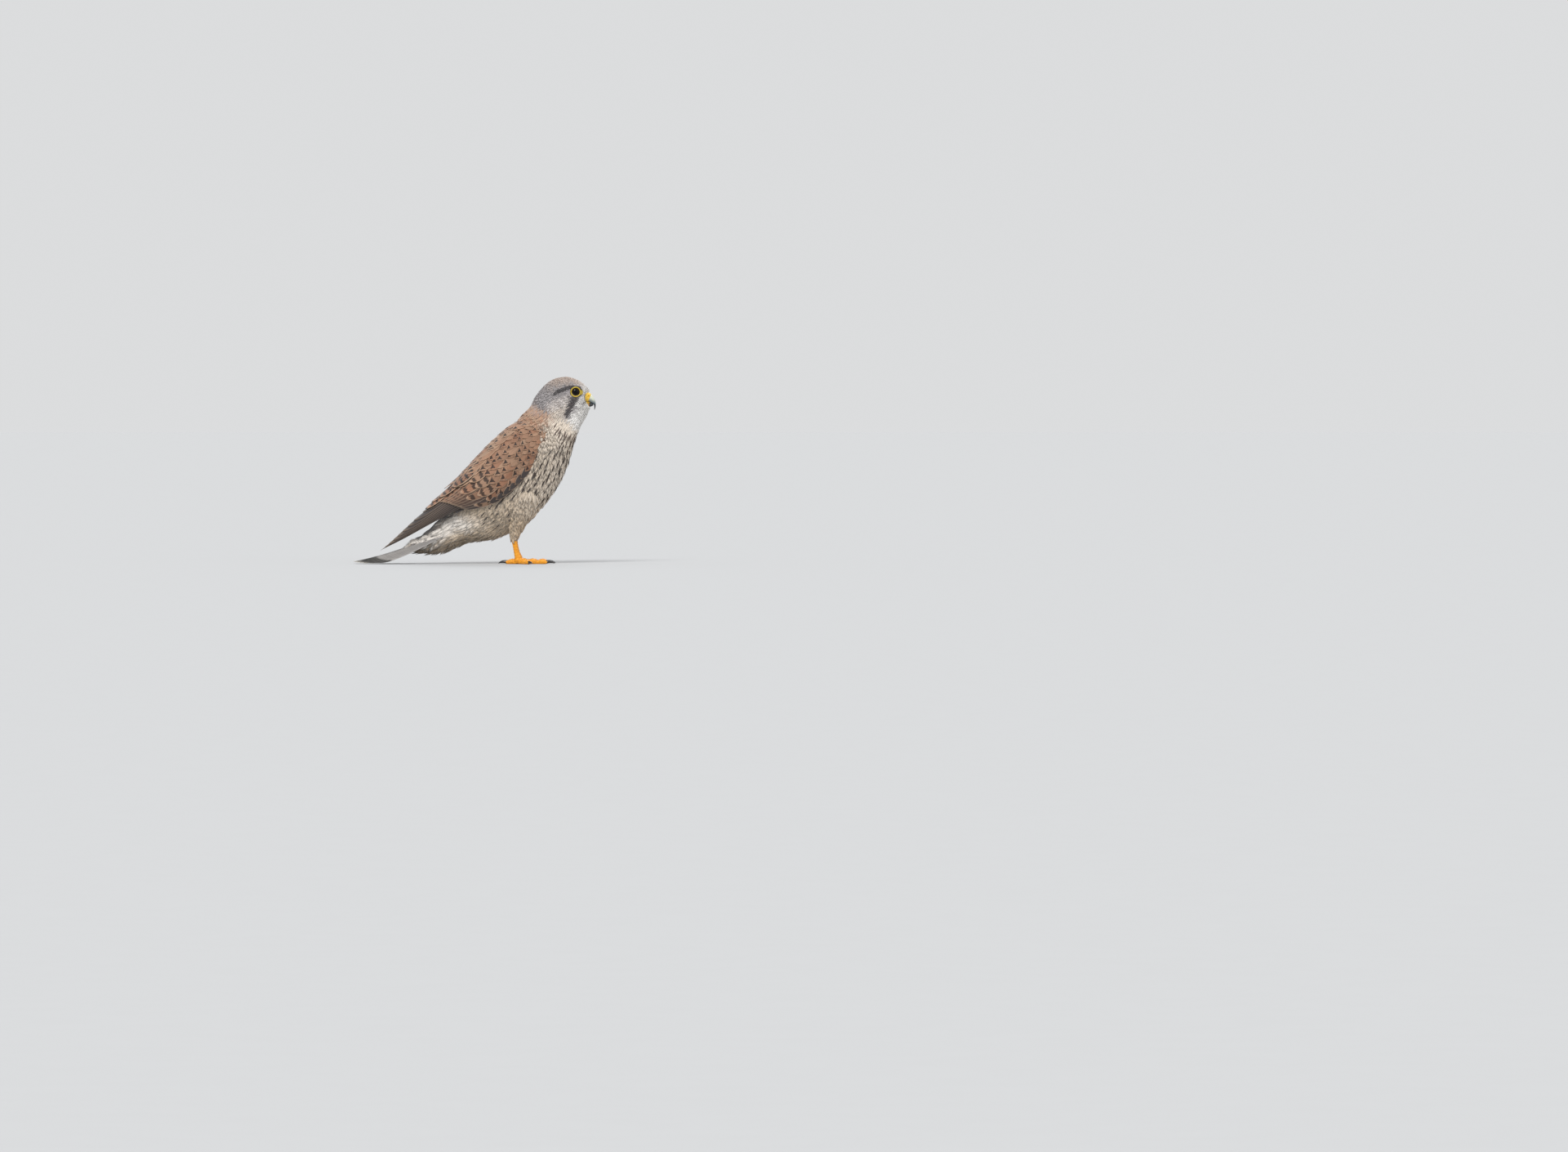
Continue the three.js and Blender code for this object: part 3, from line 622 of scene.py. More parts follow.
def near_segment(x, z, start, end, reach):
    """How near, from 0 to 1, points of the side view lie to a line from start to end."""
    line = np.subtract(end, start)
    t = np.clip(((x - start[0]) * line[0] + (z - start[1]) * line[1]) / (line @ line), 0, 1)
    distance = np.hypot(x - start[0] - t * line[0], z - start[1] - t * line[1])
    return 1 - smooth(reach * 0.55, reach * 1.3, distance)


STREAK_LINES = 36  # rows of drop-shaped marks round the body
STREAK_REACH = (5.9, 12.6)  # the stations between which they lie


def ragged(points, size, seed):
    """Smooth uneven numbers about 0, to keep the borders of the markings from being lines."""
    x, y, z = (np.asarray(points) / size).T
    return (np.sin(1.7 * x + 2.1 * z + seed) * np.sin(1.3 * y - 1.1 * z + 2 * seed)
            + 0.5 * np.sin(3.1 * x - 2.3 * y + 1.7 * z + 3 * seed)) / 1.5


def under_share(turn):
    """How far round the body a turn is: 0 along the back, 1 along the middle of the belly."""
    return np.abs(np.arctan2(np.sin(turn), np.cos(turn))) / math.pi


def body_colours(place, turn):
    """Ground colour, marks (spot, bars, streak) and fringe of the body's plumage."""
    p = body_point(place, turn)
    x, y, z = p[..., 0], np.abs(p[..., 1]), p[..., 2]
    rough = ragged(p, 3.0, 1.0)
    under = under_share(turn)
    side_view = y > 3

    # Hood
    crown = smooth(0.34, 0.14, under + 0.06 * rough) * smooth(4.6, 3.2, place)
    ground = blend(crown, GREY, CROWN_BROWN)
    cheek = near_segment(x, z, (57, 175), (40, 171), 8 + 2.5 * rough) * side_view
    ground = blend(0.8 * cheek, ground, CHEEK)
    hind_cheek = near_segment(x, z, (51, 166), (39, 162), 6 + 2 * rough) * side_view
    ground = blend(0.6 * hind_cheek, ground, CREAM)
    lores = near_segment(x, z, (75, 190), (71.5, 181), 4.2 + rough)
    ground = blend(0.85 * lores, ground, WHITE)
    below_lores = near_segment(x, z, (70.5, 178.5), (66.5, 172), 3.2 + 0.8 * rough) * side_view
    ground = blend(0.8 * below_lores, ground, WHITE)
    ground = blend(0.55 * smooth(2.4, 1.4, place) * smooth(0.35, 0.1, under), ground, WHITE)
    throat = smooth(0.60, 0.72, under + 0.05 * rough) * smooth(6.6, 5.2, place)
    ground = blend(throat, ground, WHITE)
    moustache = near_segment(x, z, (EYE[0] + 1.2, EYE[2] - 7.5), (EYE[0] - 6.4, EYE[2] - 22.5),
                             lerp(2.8, 4.0, smooth(EYE[2] - 24, EYE[2] - 13, z)) + 0.5 * rough)
    ground = blend(moustache * (y > 6), ground, SLATE * 0.85)
    eye_line = near_segment(x, z, (EYE[0] - 3, EYE[2] + 6), (EYE[0] - 19, EYE[2] + 1), 2.2 + 0.6 * rough)
    ground = blend(0.95 * eye_line * side_view, ground, SLATE * 0.6)
    reach = np.hypot(x - EYE[0] - 0.5, z - EYE[2])
    lid_line = smooth(8.0, 6.4, reach) * smooth(0.25, 0.7, np.abs(z - EYE[2]) / reach) * side_view
    ground = blend(0.85 * lid_line, ground, SLATE)

    # Body
    below_hood = smooth(5.3, 6.4, place + 0.4 * rough + 0.9 * smooth(0.2, 0.75, under))
    border = lerp(0.46, 0.24, smooth(10.6, 12.6, place))
    front = smooth(-0.07, 0.07, under - border + 0.05 * rough)
    lower = blend(front, blend(0.35 + 0.3 * rough, CHESTNUT, BUFF), CREAM)
    lower = blend((1 - front) * smooth(6.9, 8.0, place), lower, RUFOUS)
    lower = blend(front * smooth(10.3, 12.2, place + 0.4 * rough) * 0.75, lower, BUFF)
    flank = smooth(0.38, 0.5, under) * smooth(0.85, 0.6, under)
    flank = flank * smooth(7.5, 9, place) * smooth(13, 11.5, place)
    lower = blend(flank * 0.45, lower, FLANK_DUSK)
    lower = blend(0.7 * front * smooth(12.2, 13.4, place) * smooth(0.7, 0.45, under), lower, WHITE * 0.9)
    # Painted shade: the hanging feathers on the underside at the rear of the belly are blended towards a dark
    # brown.
    hanging_shade = smooth(12.6, 14.0, place + 0.5 * rough) * smooth(0.55, 0.8, under + 0.05 * rough)
    lower = blend(0.85 * hanging_shade, lower, PAINTED_SHADE_BROWN)
    lower = blend(smooth(12.2, 13.0, place) * (1 - front), lower, TAIL_GREY)
    ground = blend(below_hood, ground, lower)

    streak = 0.75 * crown
    streak = np.maximum(streak, 0.6 * np.maximum(cheek, hind_cheek) * smooth(-0.2, 0.5, rough))
    streak = np.maximum(streak, 0.45 * (1 - front) * below_hood * smooth(8.0, 6.8, place))
    spot = (1 - front) * below_hood * smooth(7.1, 7.9, place) * smooth(12.4, 11.8, place)
    fringe = 0.3 * below_hood * (1 - front) + 0.2 * front
    marks = np.stack([spot, 0 * spot, streak], -1)
    return ground, marks, fringe


def slab_faces(rows, columns):
    """Faces of a closed slab between two like grids of points, the second grid under the first."""
    under = rows * columns
    faces = []
    for i in range(rows - 1):
        for j in range(columns - 1):
            a = i * columns + j
            faces.append((a, a + 1, a + columns + 1, a + columns))
            faces.append((under + a, under + a + columns, under + a + columns + 1, under + a + 1))
    border = [*range(columns), *range(2 * columns - 1, under, columns)]
    border += [*range(under - 2, under - columns - 1, -1), *range(under - 2 * columns, 0, -columns)]
    for a, b in zip(border, border[1:] + border[:1]):
        faces.append((b, a, under + a, under + b))
    return faces


# Feathers in their thousands over the skin

TEMPLATES = {}
FEATHER_CUP, FEATHER_BOW = 0.16, 0.08  # how hollow a small feather is across, and how bowed along
STRANDS, STRAND_SPREAD, STRAND_ROWS = 7, 0.72, (0.0, 0.4, 0.75)
ROOT_ONLY = ("lie", "stand", "size", "blade", "seed", "root_patch")  # not needed once a coat is laid
SCATTER_GRID, SCATTER_TRIES = 160, 9
AROUND_CELL = [(x, y, z) for x in (-1, 0, 1) for y in (-1, 0, 1) for z in (-1, 0, 1)]
FULL_TURN = (0, 2 * math.pi)
SKIN_VOXEL, SKIN_SOFTENING = 1.3, 4
THIGH_BARE = {"below": 44, "beside": 14, "behind": -16}  # where the skin takes the thighs' one colour


def keep_template(name, points, vane, faces):
    made = add_mesh(name, points, faces)
    point_attributes(made, blade=vane)
    face_outwards(made)
    TEMPLATES[name] = made


def feather_template(name, rows, columns, pointed, notch=0.0):
    """A closed, thin feather one unit long, arched above and flat below, with its vane coordinates."""
    rng = np.random.default_rng(5)
    frays = notch * (0.6 + 0.8 * rng.random(columns + 1)) * (np.arange(columns + 1) % 2)
    points, vane = [], []
    for u in np.linspace(0, 1, rows + 1):
        past = max(0, (u - 0.6) / 0.4)
        width = (0.30 + 0.70 * math.sin(min(u / 0.6, 1) * math.pi / 2)) * (1 - pointed * past ** 2.2)
        for w, fray in zip(np.linspace(-1, 1, columns + 1), frays):
            reach = u - fray * (u > 0.99) - 0.12 * w * w * u ** 3
            arch = FEATHER_BOW * math.sin(u * 2.6) - FEATHER_CUP * w * w * width * 0.5
            points.append((reach, w * width, arch))
            vane.append((u, w, 0))
    step = columns + 1
    faces = [range(step), range(rows * step, (rows + 1) * step)]
    for a in range(0, rows * step, step):
        faces += [(a + j, a + j + 1, a + j + 1 + step, a + j + step) for j in range(columns)]
        faces.append((a, a + columns, a + columns + step, a + step))
    keep_template(name, points, vane, faces)


def tuft_template(name):
    """A loose feather: a few thin pointed strands side by side, each one closed."""
    rng = np.random.default_rng(6)
    points, vane, faces = [], [], []
    for k in range(STRANDS):
        across = lerp(-STRAND_SPREAD, STRAND_SPREAD, k / (STRANDS - 1))
        reach = 1 - 0.20 * abs(across) - 0.18 * rng.random()
        layer = 0.035 * rng.normal()
        first = len(points)
        for u in (*STRAND_ROWS, 1.0):
            half = 0.26 * (1 - 0.7 * u ** 1.6)
            z = 0.08 * math.sin(2.6 * u) + layer * u - 0.10 * across ** 2
            for w, up in ((-1, 0), (0, 0.03), (1, 0)) if u < 1 else ((0, 0),):
                points.append((u * reach, across * (0.45 + 0.55 * u) + w * half, z + up))
                vane.append((u, across + 0.12 * w, 0))
        faces.append((first, first + 1, first + 2))
        tip = first + 3 * len(STRAND_ROWS)
        for a in range(first, tip, 3):
            b = a + 3
            for j, after in ((0, 1), (1, 2), (2, 0)):
                faces.append((a + j, a + after, b) if b == tip else (a + j, a + after, b + after, b + j))
    keep_template(name, points, vane, faces)


def coat_tree():
    """Geometry Nodes that set one feather on every root point, along its lie, as plain mesh."""
    tree, g, given = new_group("feather_coat", "GeometryNodeTree", (
        ("Roots", "Geometry"), ("Feather", "Object"), ("Finish", "Material"), ("Patch", "Float", 0.003),
    ), (("Coat", "Geometry"),))

    def named(name, kind="FLOAT_VECTOR"):
        return g.node("GeometryNodeInputNamedAttribute", {"data_type": kind}, Name=name).outputs["Attribute"]

    def stored(geometry, name, value, kind, domain):
        return g.node("GeometryNodeStoreNamedAttribute", {"data_type": kind, "domain": domain},
                      Geometry=geometry, Name=name, Value=value).outputs["Geometry"]

    points = g.node("GeometryNodeMeshToPoints", Mesh=given["Roots"]).outputs["Points"]
    feather = g.node("GeometryNodeObjectInfo", Object=given["Feather"]).outputs["Geometry"]
    turned = g.node("FunctionNodeAxesToRotation", {"primary_axis": "X", "secondary_axis": "Z"},
                    Primary_Axis=named("lie"), Secondary_Axis=named("stand")).outputs["Rotation"]
    placed = g.node("GeometryNodeInstanceOnPoints", Points=points, Instance=feather, Rotation=turned,
                    Scale=named("size")).outputs["Instances"]
    real = g.node("GeometryNodeRealizeInstances", Geometry=placed).outputs["Geometry"]

    u, w, _ = g.parts(named("blade"))
    vane = g.node("ShaderNodeCombineXYZ", X=u, Y=w, Z=named("seed", "FLOAT")).outputs[0]
    coat = stored(real, "vane", vane, "FLOAT_VECTOR", "POINT")
    spread = g.node("ShaderNodeVectorMath", {"operation": "SCALE"}, Vector=named("blade"),
                    Scale=g.times(given["Patch"], 0.5))
    where = g.node("ShaderNodeVectorMath", {"operation": "ADD"})
    g.feed(where.inputs[0], spread.outputs[0])
    g.feed(where.inputs[1], named("root_patch"))
    coat = stored(coat, "OFBake", where.outputs[0], "FLOAT2", "CORNER")
    finish = g.node("GeometryNodeSetMaterial", Geometry=coat, Material=given["Finish"])
    g.node("NodeGroupOutput", Coat=finish.outputs["Geometry"])
    return tree


COAT_TREE = coat_tree()


def lay_coat(name, roots, template, finish, slot):
    """One piece of coat from root points with their lie, size, colours and place on the unwrap."""
    piece = mesh_piece(name, roots["point"], [])
    point_attributes(piece, **{key: values for key, values in roots.items() if key != "point"})
    modifier = piece.modifiers.new("coat", "NODES")
    modifier.node_group = COAT_TREE
    given = {"Feather": TEMPLATES[template], "Finish": MATERIALS[finish]}
    for item in COAT_TREE.interface.items_tree:
        if item.name in given:
            modifier[item.identifier] = given[item.name]
    mesh = settle(piece)
    for key in ROOT_ONLY:
        if key in mesh.attributes:
            mesh.attributes.remove(mesh.attributes[key])
    finish_piece(piece, slot)


def lay_parts(roots, parts, template, finish, slot):
    """A coat in named parts, each with the roots chosen for it."""
    for name, chosen in parts.items():
        lay_coat(name, {key: value[chosen] for key, value in roots.items()}, template, finish, slot)


def frame_on(surface, a, b, step=0.01):
    """Point, lie along a, and outward normal of a surface at many places."""
    ahead = unit(surface(a + step, b) - surface(a - step, b))
    aside = surface(a, b + step) - surface(a, b - step)
    return surface(a, b), ahead, unit(np.cross(aside, ahead))


def scatter(surface, ranges, spacing, keep, seed):
    """Evenly spread random places on a surface, at a spacing that may differ over it."""
    rng = np.random.default_rng(seed)
    (a0, a1), (b0, b1) = ranges
    grid_a, grid_b = np.meshgrid(np.linspace(a0, a1, SCATTER_GRID), np.linspace(b0, b1, SCATTER_GRID),
                                 indexing="ij")
    p = surface(grid_a, grid_b)
    corner = p[:-1, :-1]
    cell = np.linalg.norm(np.cross(p[1:, :-1] - corner, p[:-1, 1:] - corner), axis=-1)
    gap = spacing(grid_a[:-1, :-1], grid_b[:-1, :-1])
    weight = (cell / gap ** 2 * keep(corner, grid_a[:-1, :-1], grid_b[:-1, :-1])).ravel()
    total = int(weight.sum() * SCATTER_TRIES)
    i, j = np.unravel_index(rng.choice(len(weight), size=total, p=weight / weight.sum()), cell.shape)
    a = grid_a[i, j] + rng.random(total) * (a1 - a0) / (SCATTER_GRID - 1)
    b = grid_b[i, j] + rng.random(total) * (b1 - b0) / (SCATTER_GRID - 1)
    points, gaps = surface(a, b), spacing(a, b)
    size = float(gaps.max())
    taken, cells = [], {}
    for k, (q, limit) in enumerate(zip(points, gaps ** 2)):
        x, y, z = (int(c // size) for c in q)
        near = (q - other for dx, dy, dz in AROUND_CELL for other in cells.get((x + dx, y + dy, z + dz), ()))
        if all(d[0] * d[0] + d[1] * d[1] + d[2] * d[2] >= limit for d in near):
            cells.setdefault((x, y, z), []).append(q)
            taken.append(k)
    return a[taken], b[taken]


def coat_roots(surface, a, b, length, half, lift, colours, patch, seed, sway, normal_sign=1):
    """Everything the coat needs to know of its feathers' roots."""
    rng = np.random.default_rng(seed)
    here, ahead, normal = frame_on(surface, a, b)
    normal = normal * normal_sign
    aside = np.cross(normal, ahead)
    yaw = sway * rng.normal(size=len(a))[:, None]
    ahead = unit(ahead * np.cos(yaw) + aside * np.sin(yaw))
    raise_by = (lift(a, b) + 0.04 * rng.normal(size=len(a)))[:, None]
    long = length(a, b) * (0.88 + 0.24 * rng.random(len(a)))
    wide = half(a, b) * (0.9 + 0.2 * rng.random(len(a)))
    ground, marks, fringe = colours(a, b)
    ground = ground * (0.92 + 0.16 * rng.random((len(a), 1)))
    return {
        "point": here - normal * (0.12 * long[:, None]) * 0.5,
        "lie": unit(ahead * np.cos(raise_by) + normal * np.sin(raise_by)), "stand": normal,
        "size": np.stack([long, wide, long * 0.5 + wide * 0.5], -1) * MM, "marks": marks,
        "root_patch": np.concatenate([patch(a, b), np.zeros((len(a), 1))], 1),
        "seed": rng.random(len(a)), "fringe": fringe, "ground": ground,
    }


def body_patch(place, turn):
    share = np.mod(turn / (2 * math.pi) + 0.5, 1)
    return np.stack([0.01 + 0.66 * place / (len(BODY) - 1), 0.01 + 0.97 * share], -1)


# Body skin and coat

def skin_surface(place, turn):
    return body_point(place, turn, -COAT_DEPTH)


def thigh_point(side):
    def surface(place, turn):
        row = row_at(THIGH, place)
        step = row_at(THIGH, np.asarray(place) + 0.05) - row
        axis = unit(np.stack([step[..., 0], 0 * step[..., 0], step[..., 1]], -1))
        forward = np.stack([-axis[..., 2], 0 * axis[..., 0], axis[..., 0]], -1)
        radius = row[..., 2] - COAT_DEPTH * 0.6
        made = np.stack([row[..., 0], side * LEG_APART + 0 * row[..., 0], row[..., 1]], -1)
        made = made + forward * (radius * np.cos(turn))[..., None]
        made[..., 1] += side * radius * np.sin(turn)
        return made

    return surface


def brow(side):
    """The ridge over an eye, as a spindle that the skin closes over."""
    u, t = ring_grid(0, math.pi, 12, 16)
    cos, sin = math.cos(BROW_TILT), math.sin(BROW_TILT)
    long, wide, high = BROW_SIZE
    x, y, z = long * np.cos(u), wide * np.sin(u) * np.cos(t), high * np.sin(u) * np.sin(t)
    return np.stack([BROW[0] + x * cos + z * sin, side * BROW[1] + y, BROW[2] - x * sin + z * cos], -1)


def make_skin():
    """One skin for head, neck, body and thighs."""
    lofts = [skin_surface(*ring_grid(0, len(BODY) - 1, 110, 72))]
    for _, side in SIDES:
        lofts += [thigh_point(side)(*ring_grid(0, len(THIGH) - 1, 24, 28)), brow(side)]
    skin = mesh_piece("skin", *join_lofts(lofts, False))
    face_outwards(skin)
    remesh = skin.modifiers.new("one_skin", "REMESH")
    remesh.mode, remesh.voxel_size, remesh.use_smooth_shade = "VOXEL", SKIN_VOXEL * MM, True
    soften = skin.modifiers.new("soften", "SMOOTH")
    soften.factor, soften.iterations = 0.5, SKIN_SOFTENING
    mesh = settle(skin)
    where = np.empty(len(mesh.vertices) * 3)
    mesh.vertices.foreach_get("co", where)
    where = where.reshape(-1, 3) / MM - np.array([CENTRING, 0, 0])
    ground, _, _ = body_colours(*nearest_place(where))
    beside = np.abs(np.abs(where[:, 1]) - LEG_APART) < THIGH_BARE["beside"]
    ground[(where[:, 2] < THIGH_BARE["below"]) & beside & (where[:, 0] > THIGH_BARE["behind"])] = BUFF
    # Painted shade: the skin's colours are dimmed by a tenth, so the gaps between the feathers read as
    # shaded.
    point_attributes(skin, ground=ground * 0.9)
    mesh.materials.clear()
    mesh.materials.append(MATERIALS["down"])
    finish_piece(skin, "underparts", "head", "neck", "torso", "thigh_left", "thigh_right")


def nearest_place(points):
    """Stations and turns of the body surface nearest to points."""
    place, turn = ring_grid(0, len(BODY) - 1, 81, 64)
    surface = body_point(place, turn).reshape(-1, 3)
    tree = KDTree(len(surface))
    for i, p in enumerate(surface):
        tree.insert(p, i)
    tree.balance()
    found = np.array([tree.find(p)[1] for p in points])
    return place.ravel()[found], turn.ravel()[found]


def on_wing(points):
    """Points of the side view by the folded wing: how far along it, past its upper and its lower edge."""
    dx, dz = points[..., 0] - WING_BEND[0], points[..., 2] - WING_BEND[2]
    s = -dx * math.cos(WING_REST) - dz * math.sin(WING_REST)
    t = -dx * math.sin(WING_REST) + dz * math.cos(WING_REST)
    row = through(WING[:, 0], WING[:, 1:], np.maximum(s, 0))
    return s, t - row[..., 0], t - row[..., 1]


def under_wing(points):
    """Whether points of the body lie well under the folded wing."""
    s, above, over = on_wing(points)
    return (s > 12) & (s < 175) & (above < -4) & (over > 9) & (np.abs(points[..., 1]) > 7)


def wing_front(points):
    """How near, from 0 to 1, points of the body lie before the front edge of the folded wing."""
    s, above, over = on_wing(points)
    across = smooth(2, -3, above) * smooth(-10, -4, over)
    return smooth(-17, -9, s) * smooth(26, 4, s) * across * (np.abs(points[..., 1]) > 5)


def bare_face(points):
    """Where no feathers grow: the eyes with their rings, and the foot of the bill."""
    x, y, z = points[..., 0], np.abs(points[..., 1]), points[..., 2]
    eye = (np.hypot(x - EYE[0] - 0.5, (z - EYE[2]) * 1.03) < 6.0) & (y > 8)
    patch = (np.hypot((x - EYE[0] - 6.2) / 2.7, (z - EYE[2] + 0.5) / 2.6) < 1) & (y > 8)
    bill = (x > 70.2) & (z < 185) & (z > 169.5) & (y < 6.9)
    return eye | patch | bill


def grows(points, place, low, high):
    """Whether feathers grow at points of the body, between two of its stations."""
    return (place >= low) & (place < high) & ~under_wing(points) & ~bare_face(points)


def body_roots(reach, length, gap, half, lift, seed, sway, stay=None, longer=1):
    """Roots of a coat of the body. Gaps and half widths are shares of the feathers' length."""
    def keep(points, place, turn):
        kept = grows(points, place, *reach)
        return kept & stay(under_share(turn)) if stay else kept

    a, b = scatter(body_point, (reach, FULL_TURN), lambda a, b: gap[0] * length(a, b) + gap[1], keep, seed)
    roots = coat_roots(skin_surface, a, b, lambda a, b: longer * length(a, b),
                       lambda a, b: half * length(a, b), lift, body_colours, body_patch, seed + 1, sway)
    return a, b, roots


def head_length(place, turn):
    return lerp(2.6, 7.0, smooth(0.6, 6.2, place)) * (1 + 0.3 * under_share(turn))


def body_length(place, turn):
    return lerp(7.5, 13, smooth(6, 9.5, place)) * (1 + 0.10 * smooth(0.4, 0.2, under_share(turn)))


def soft_length(place, turn):
    return lerp(13, 19, smooth(11.5, 14.5, place))


def make_head_coat():
    _, b, roots = body_roots((0.1, 6.3), head_length, (0.125, 0.24), 0.125,
                             lambda a, b: 0.09 + 0.08 * smooth(0.7, 1, under_share(b)), 11, 0.12)
    low = under_share(b) > 0.5
    lay_parts(roots, {"crown_coat": ~low, "face_coat": low}, "small", "head", "grey_head")


def make_mantle_coat():
    _, b, roots = body_roots((5.7, 12.2), body_length, (0.15, 0.4), 0.20,
                             lambda a, b: 0.08 + 0.24 * wing_front(body_point(a, b)), 21, 0.09,
                             lambda under: under < 0.49)
    roots["marks"][:, 0] *= np.random.default_rng(23).random(len(b)) < 0.6
    lay_coat("mantle_coat", roots, "contour", "mantle", "nape")


def make_breast_coat():
    a, _, roots = body_roots((5.6, 12.2), body_length, (0.13, 0.5), 0.24,
                             lambda a, b: 0.07 + 0.24 * wing_front(body_point(a, b)), 24, 0.10,
                             lambda under: under > 0.42, 1.15)
    lay_parts(roots, {"breast_coat": a < 9, "flank_coat": a >= 9}, "tuft", "breast", "underparts")


def make_streaks():
    """Long dark drops down the breast and the flanks, each one narrow feather, in broken rows."""
    rng = np.random.default_rng(51)
    places, turns = [], []
    for k in range(STREAK_LINES):
        place = 6.0 + 0.6 * rng.random()
        while place < STREAK_REACH[1]:
            places.append(place)
            turns.append((k + 0.5) / STREAK_LINES * 2 * math.pi + 0.03 * rng.normal()
                         + 0.05 * math.sin(1.7 * place + k))
            place += 0.34 + 0.38 * rng.random() * rng.random()
    a, b = np.array(places), np.array(turns)
    stay = grows(body_point(a, b), a, *STREAK_REACH) & (under_share(b) > 0.45)

    def colours(place, turn):
        tone = blend(smooth(6.0, 8.5, place), linear("#5d483d"), linear("#37291f"))
        return tone, np.zeros((len(place), 3)), np.zeros(len(place))

    roots = coat_roots(body_point, a[stay], b[stay], lambda a, b: lerp(9, 15, smooth(6, 10, a)),
                       lambda a, b: lerp(0.75, 1.1, smooth(6, 10, a)) * smooth(13.4, 11.5, a),
                       lambda a, b: 0.08 + 0 * a, colours, body_patch, 52, 0.05)
    lay_coat("breast_streaks", roots, "small", "breast", "underparts")


def make_belly_coat():
    def hang(a, b):
        return 0.07 + 0.13 * smooth(0.6, 1, under_share(b)) * smooth(12, 13.5, a)

    _, b, roots = body_roots((11.5, 15.95), soft_length, (0.12, 0.5), 0.17, hang, 31, 0.16)
    low = under_share(b) > 0.6
    lay_parts(roots, {"vent_coat": low, "rump_coat": ~low}, "tuft", "belly", "underparts")


def thigh_length(a, b):
    return lerp(14, 7.5, smooth(1.0, 4.8, a))


def outside_body(points, place, turn):
    """Whether points of a thigh lie outside the body, or only a little within it."""
    near = nearest_place(points.reshape(-1, 3))
    skin, middle = body_point(*near), body_point(*near, -8)
    out = ((points.reshape(-1, 3) - skin) * (skin - middle)).sum(-1)
    return (out > -0.5 * 8).reshape(points.shape[:-1])


def make_thigh_coats():
    for name, side in SIDES:
        surface = thigh_point(side)

        def colours(a, b):
            ground, marks, fringe = body_colours(*nearest_place(surface(a, b)))
            ground = blend(smooth(1.8, 3.2, a), ground, BUFF)
            return ground, marks * smooth(3.0, 2.0, a)[:, None], fringe

        def patch(a, b):
            share = np.mod(b / (2 * math.pi), 1)
            return np.stack([0.70 + 0.13 * a / 5 + (0.15 if side > 0 else 0), 0.01 + 0.97 * share], -1)

        a, b = scatter(surface, ((0.3, 4.97), FULL_TURN), lambda a, b: 0.12 * thigh_length(a, b) + 0.45,
                       outside_body, 41)
        here, _, normal = frame_on(surface, a, b)
        middle = row_at(THIGH, a)
        outward = here - np.stack([middle[:, 0], side * LEG_APART + 0 * a, middle[:, 1]], -1)
        sign = np.sign((normal * outward).sum(-1, keepdims=True))
        roots = coat_roots(surface, a, b, thigh_length, lambda a, b: 0.19 * thigh_length(a, b),
                           lambda a, b: lerp(-0.05, 0.08, smooth(0.6, 2.0, a)), colours, patch, 42, 0.14,
                           sign)
        lay_coat(f"thigh_coat_{name}", roots, "tuft", "belly", "underparts")


# Long feathers that are bent over the wing and the tail one by one

VANE_COLUMNS = 6
VANE_THICK, VANE_RIDGE = 0.14, 0.26  # at the edge, and how much more along the shaft near the root


def vane_grid(item, rng):
    """A closed, thin vane along a line of a surface: points, faces and vane coordinates."""
    rows = item.get("rows", 12)
    tip, widest, half = item.get("tip", 0.25), item.get("widest", 0.55), item["half"]
    uu, ww = np.meshgrid(np.linspace(0, 1, rows + 1), np.linspace(-1, 1, VANE_COLUMNS + 1), indexing="ij")
    past = np.clip((uu - widest) / (1 - widest), 0, 1)
    taper = (1 - tip) * past ** item.get("blunt", 2.4)
    width = lerp(item.get("narrow", 0.6), 1, smooth(0, widest, uu)) - taper
    rounding = item.get("round", 0.35) * half / item["length"]
    reach = uu - rounding * ww ** 2 * uu ** 4
    aside = ww * width * half
    lift = lerp(-item.get("base", 0.8), item["rise"], uu)
    height = lift + item.get("tilt", 0.1) * aside - 0.035 * aside ** 2 / half + 0.25
    thick = VANE_THICK + VANE_RIDGE * (1 - uu) * (1 - ww ** 2)
    top, low = (item["surface"](reach, aside, height + part * thick / 2) for part in (1, -1))
    vane = np.stack([uu, ww, 0 * uu + rng.random()], -1).reshape(-1, 3)
    points = np.concatenate([top.reshape(-1, 3), low.reshape(-1, 3)])
    return points, slab_faces(rows + 1, VANE_COLUMNS + 1), np.concatenate([vane, vane])


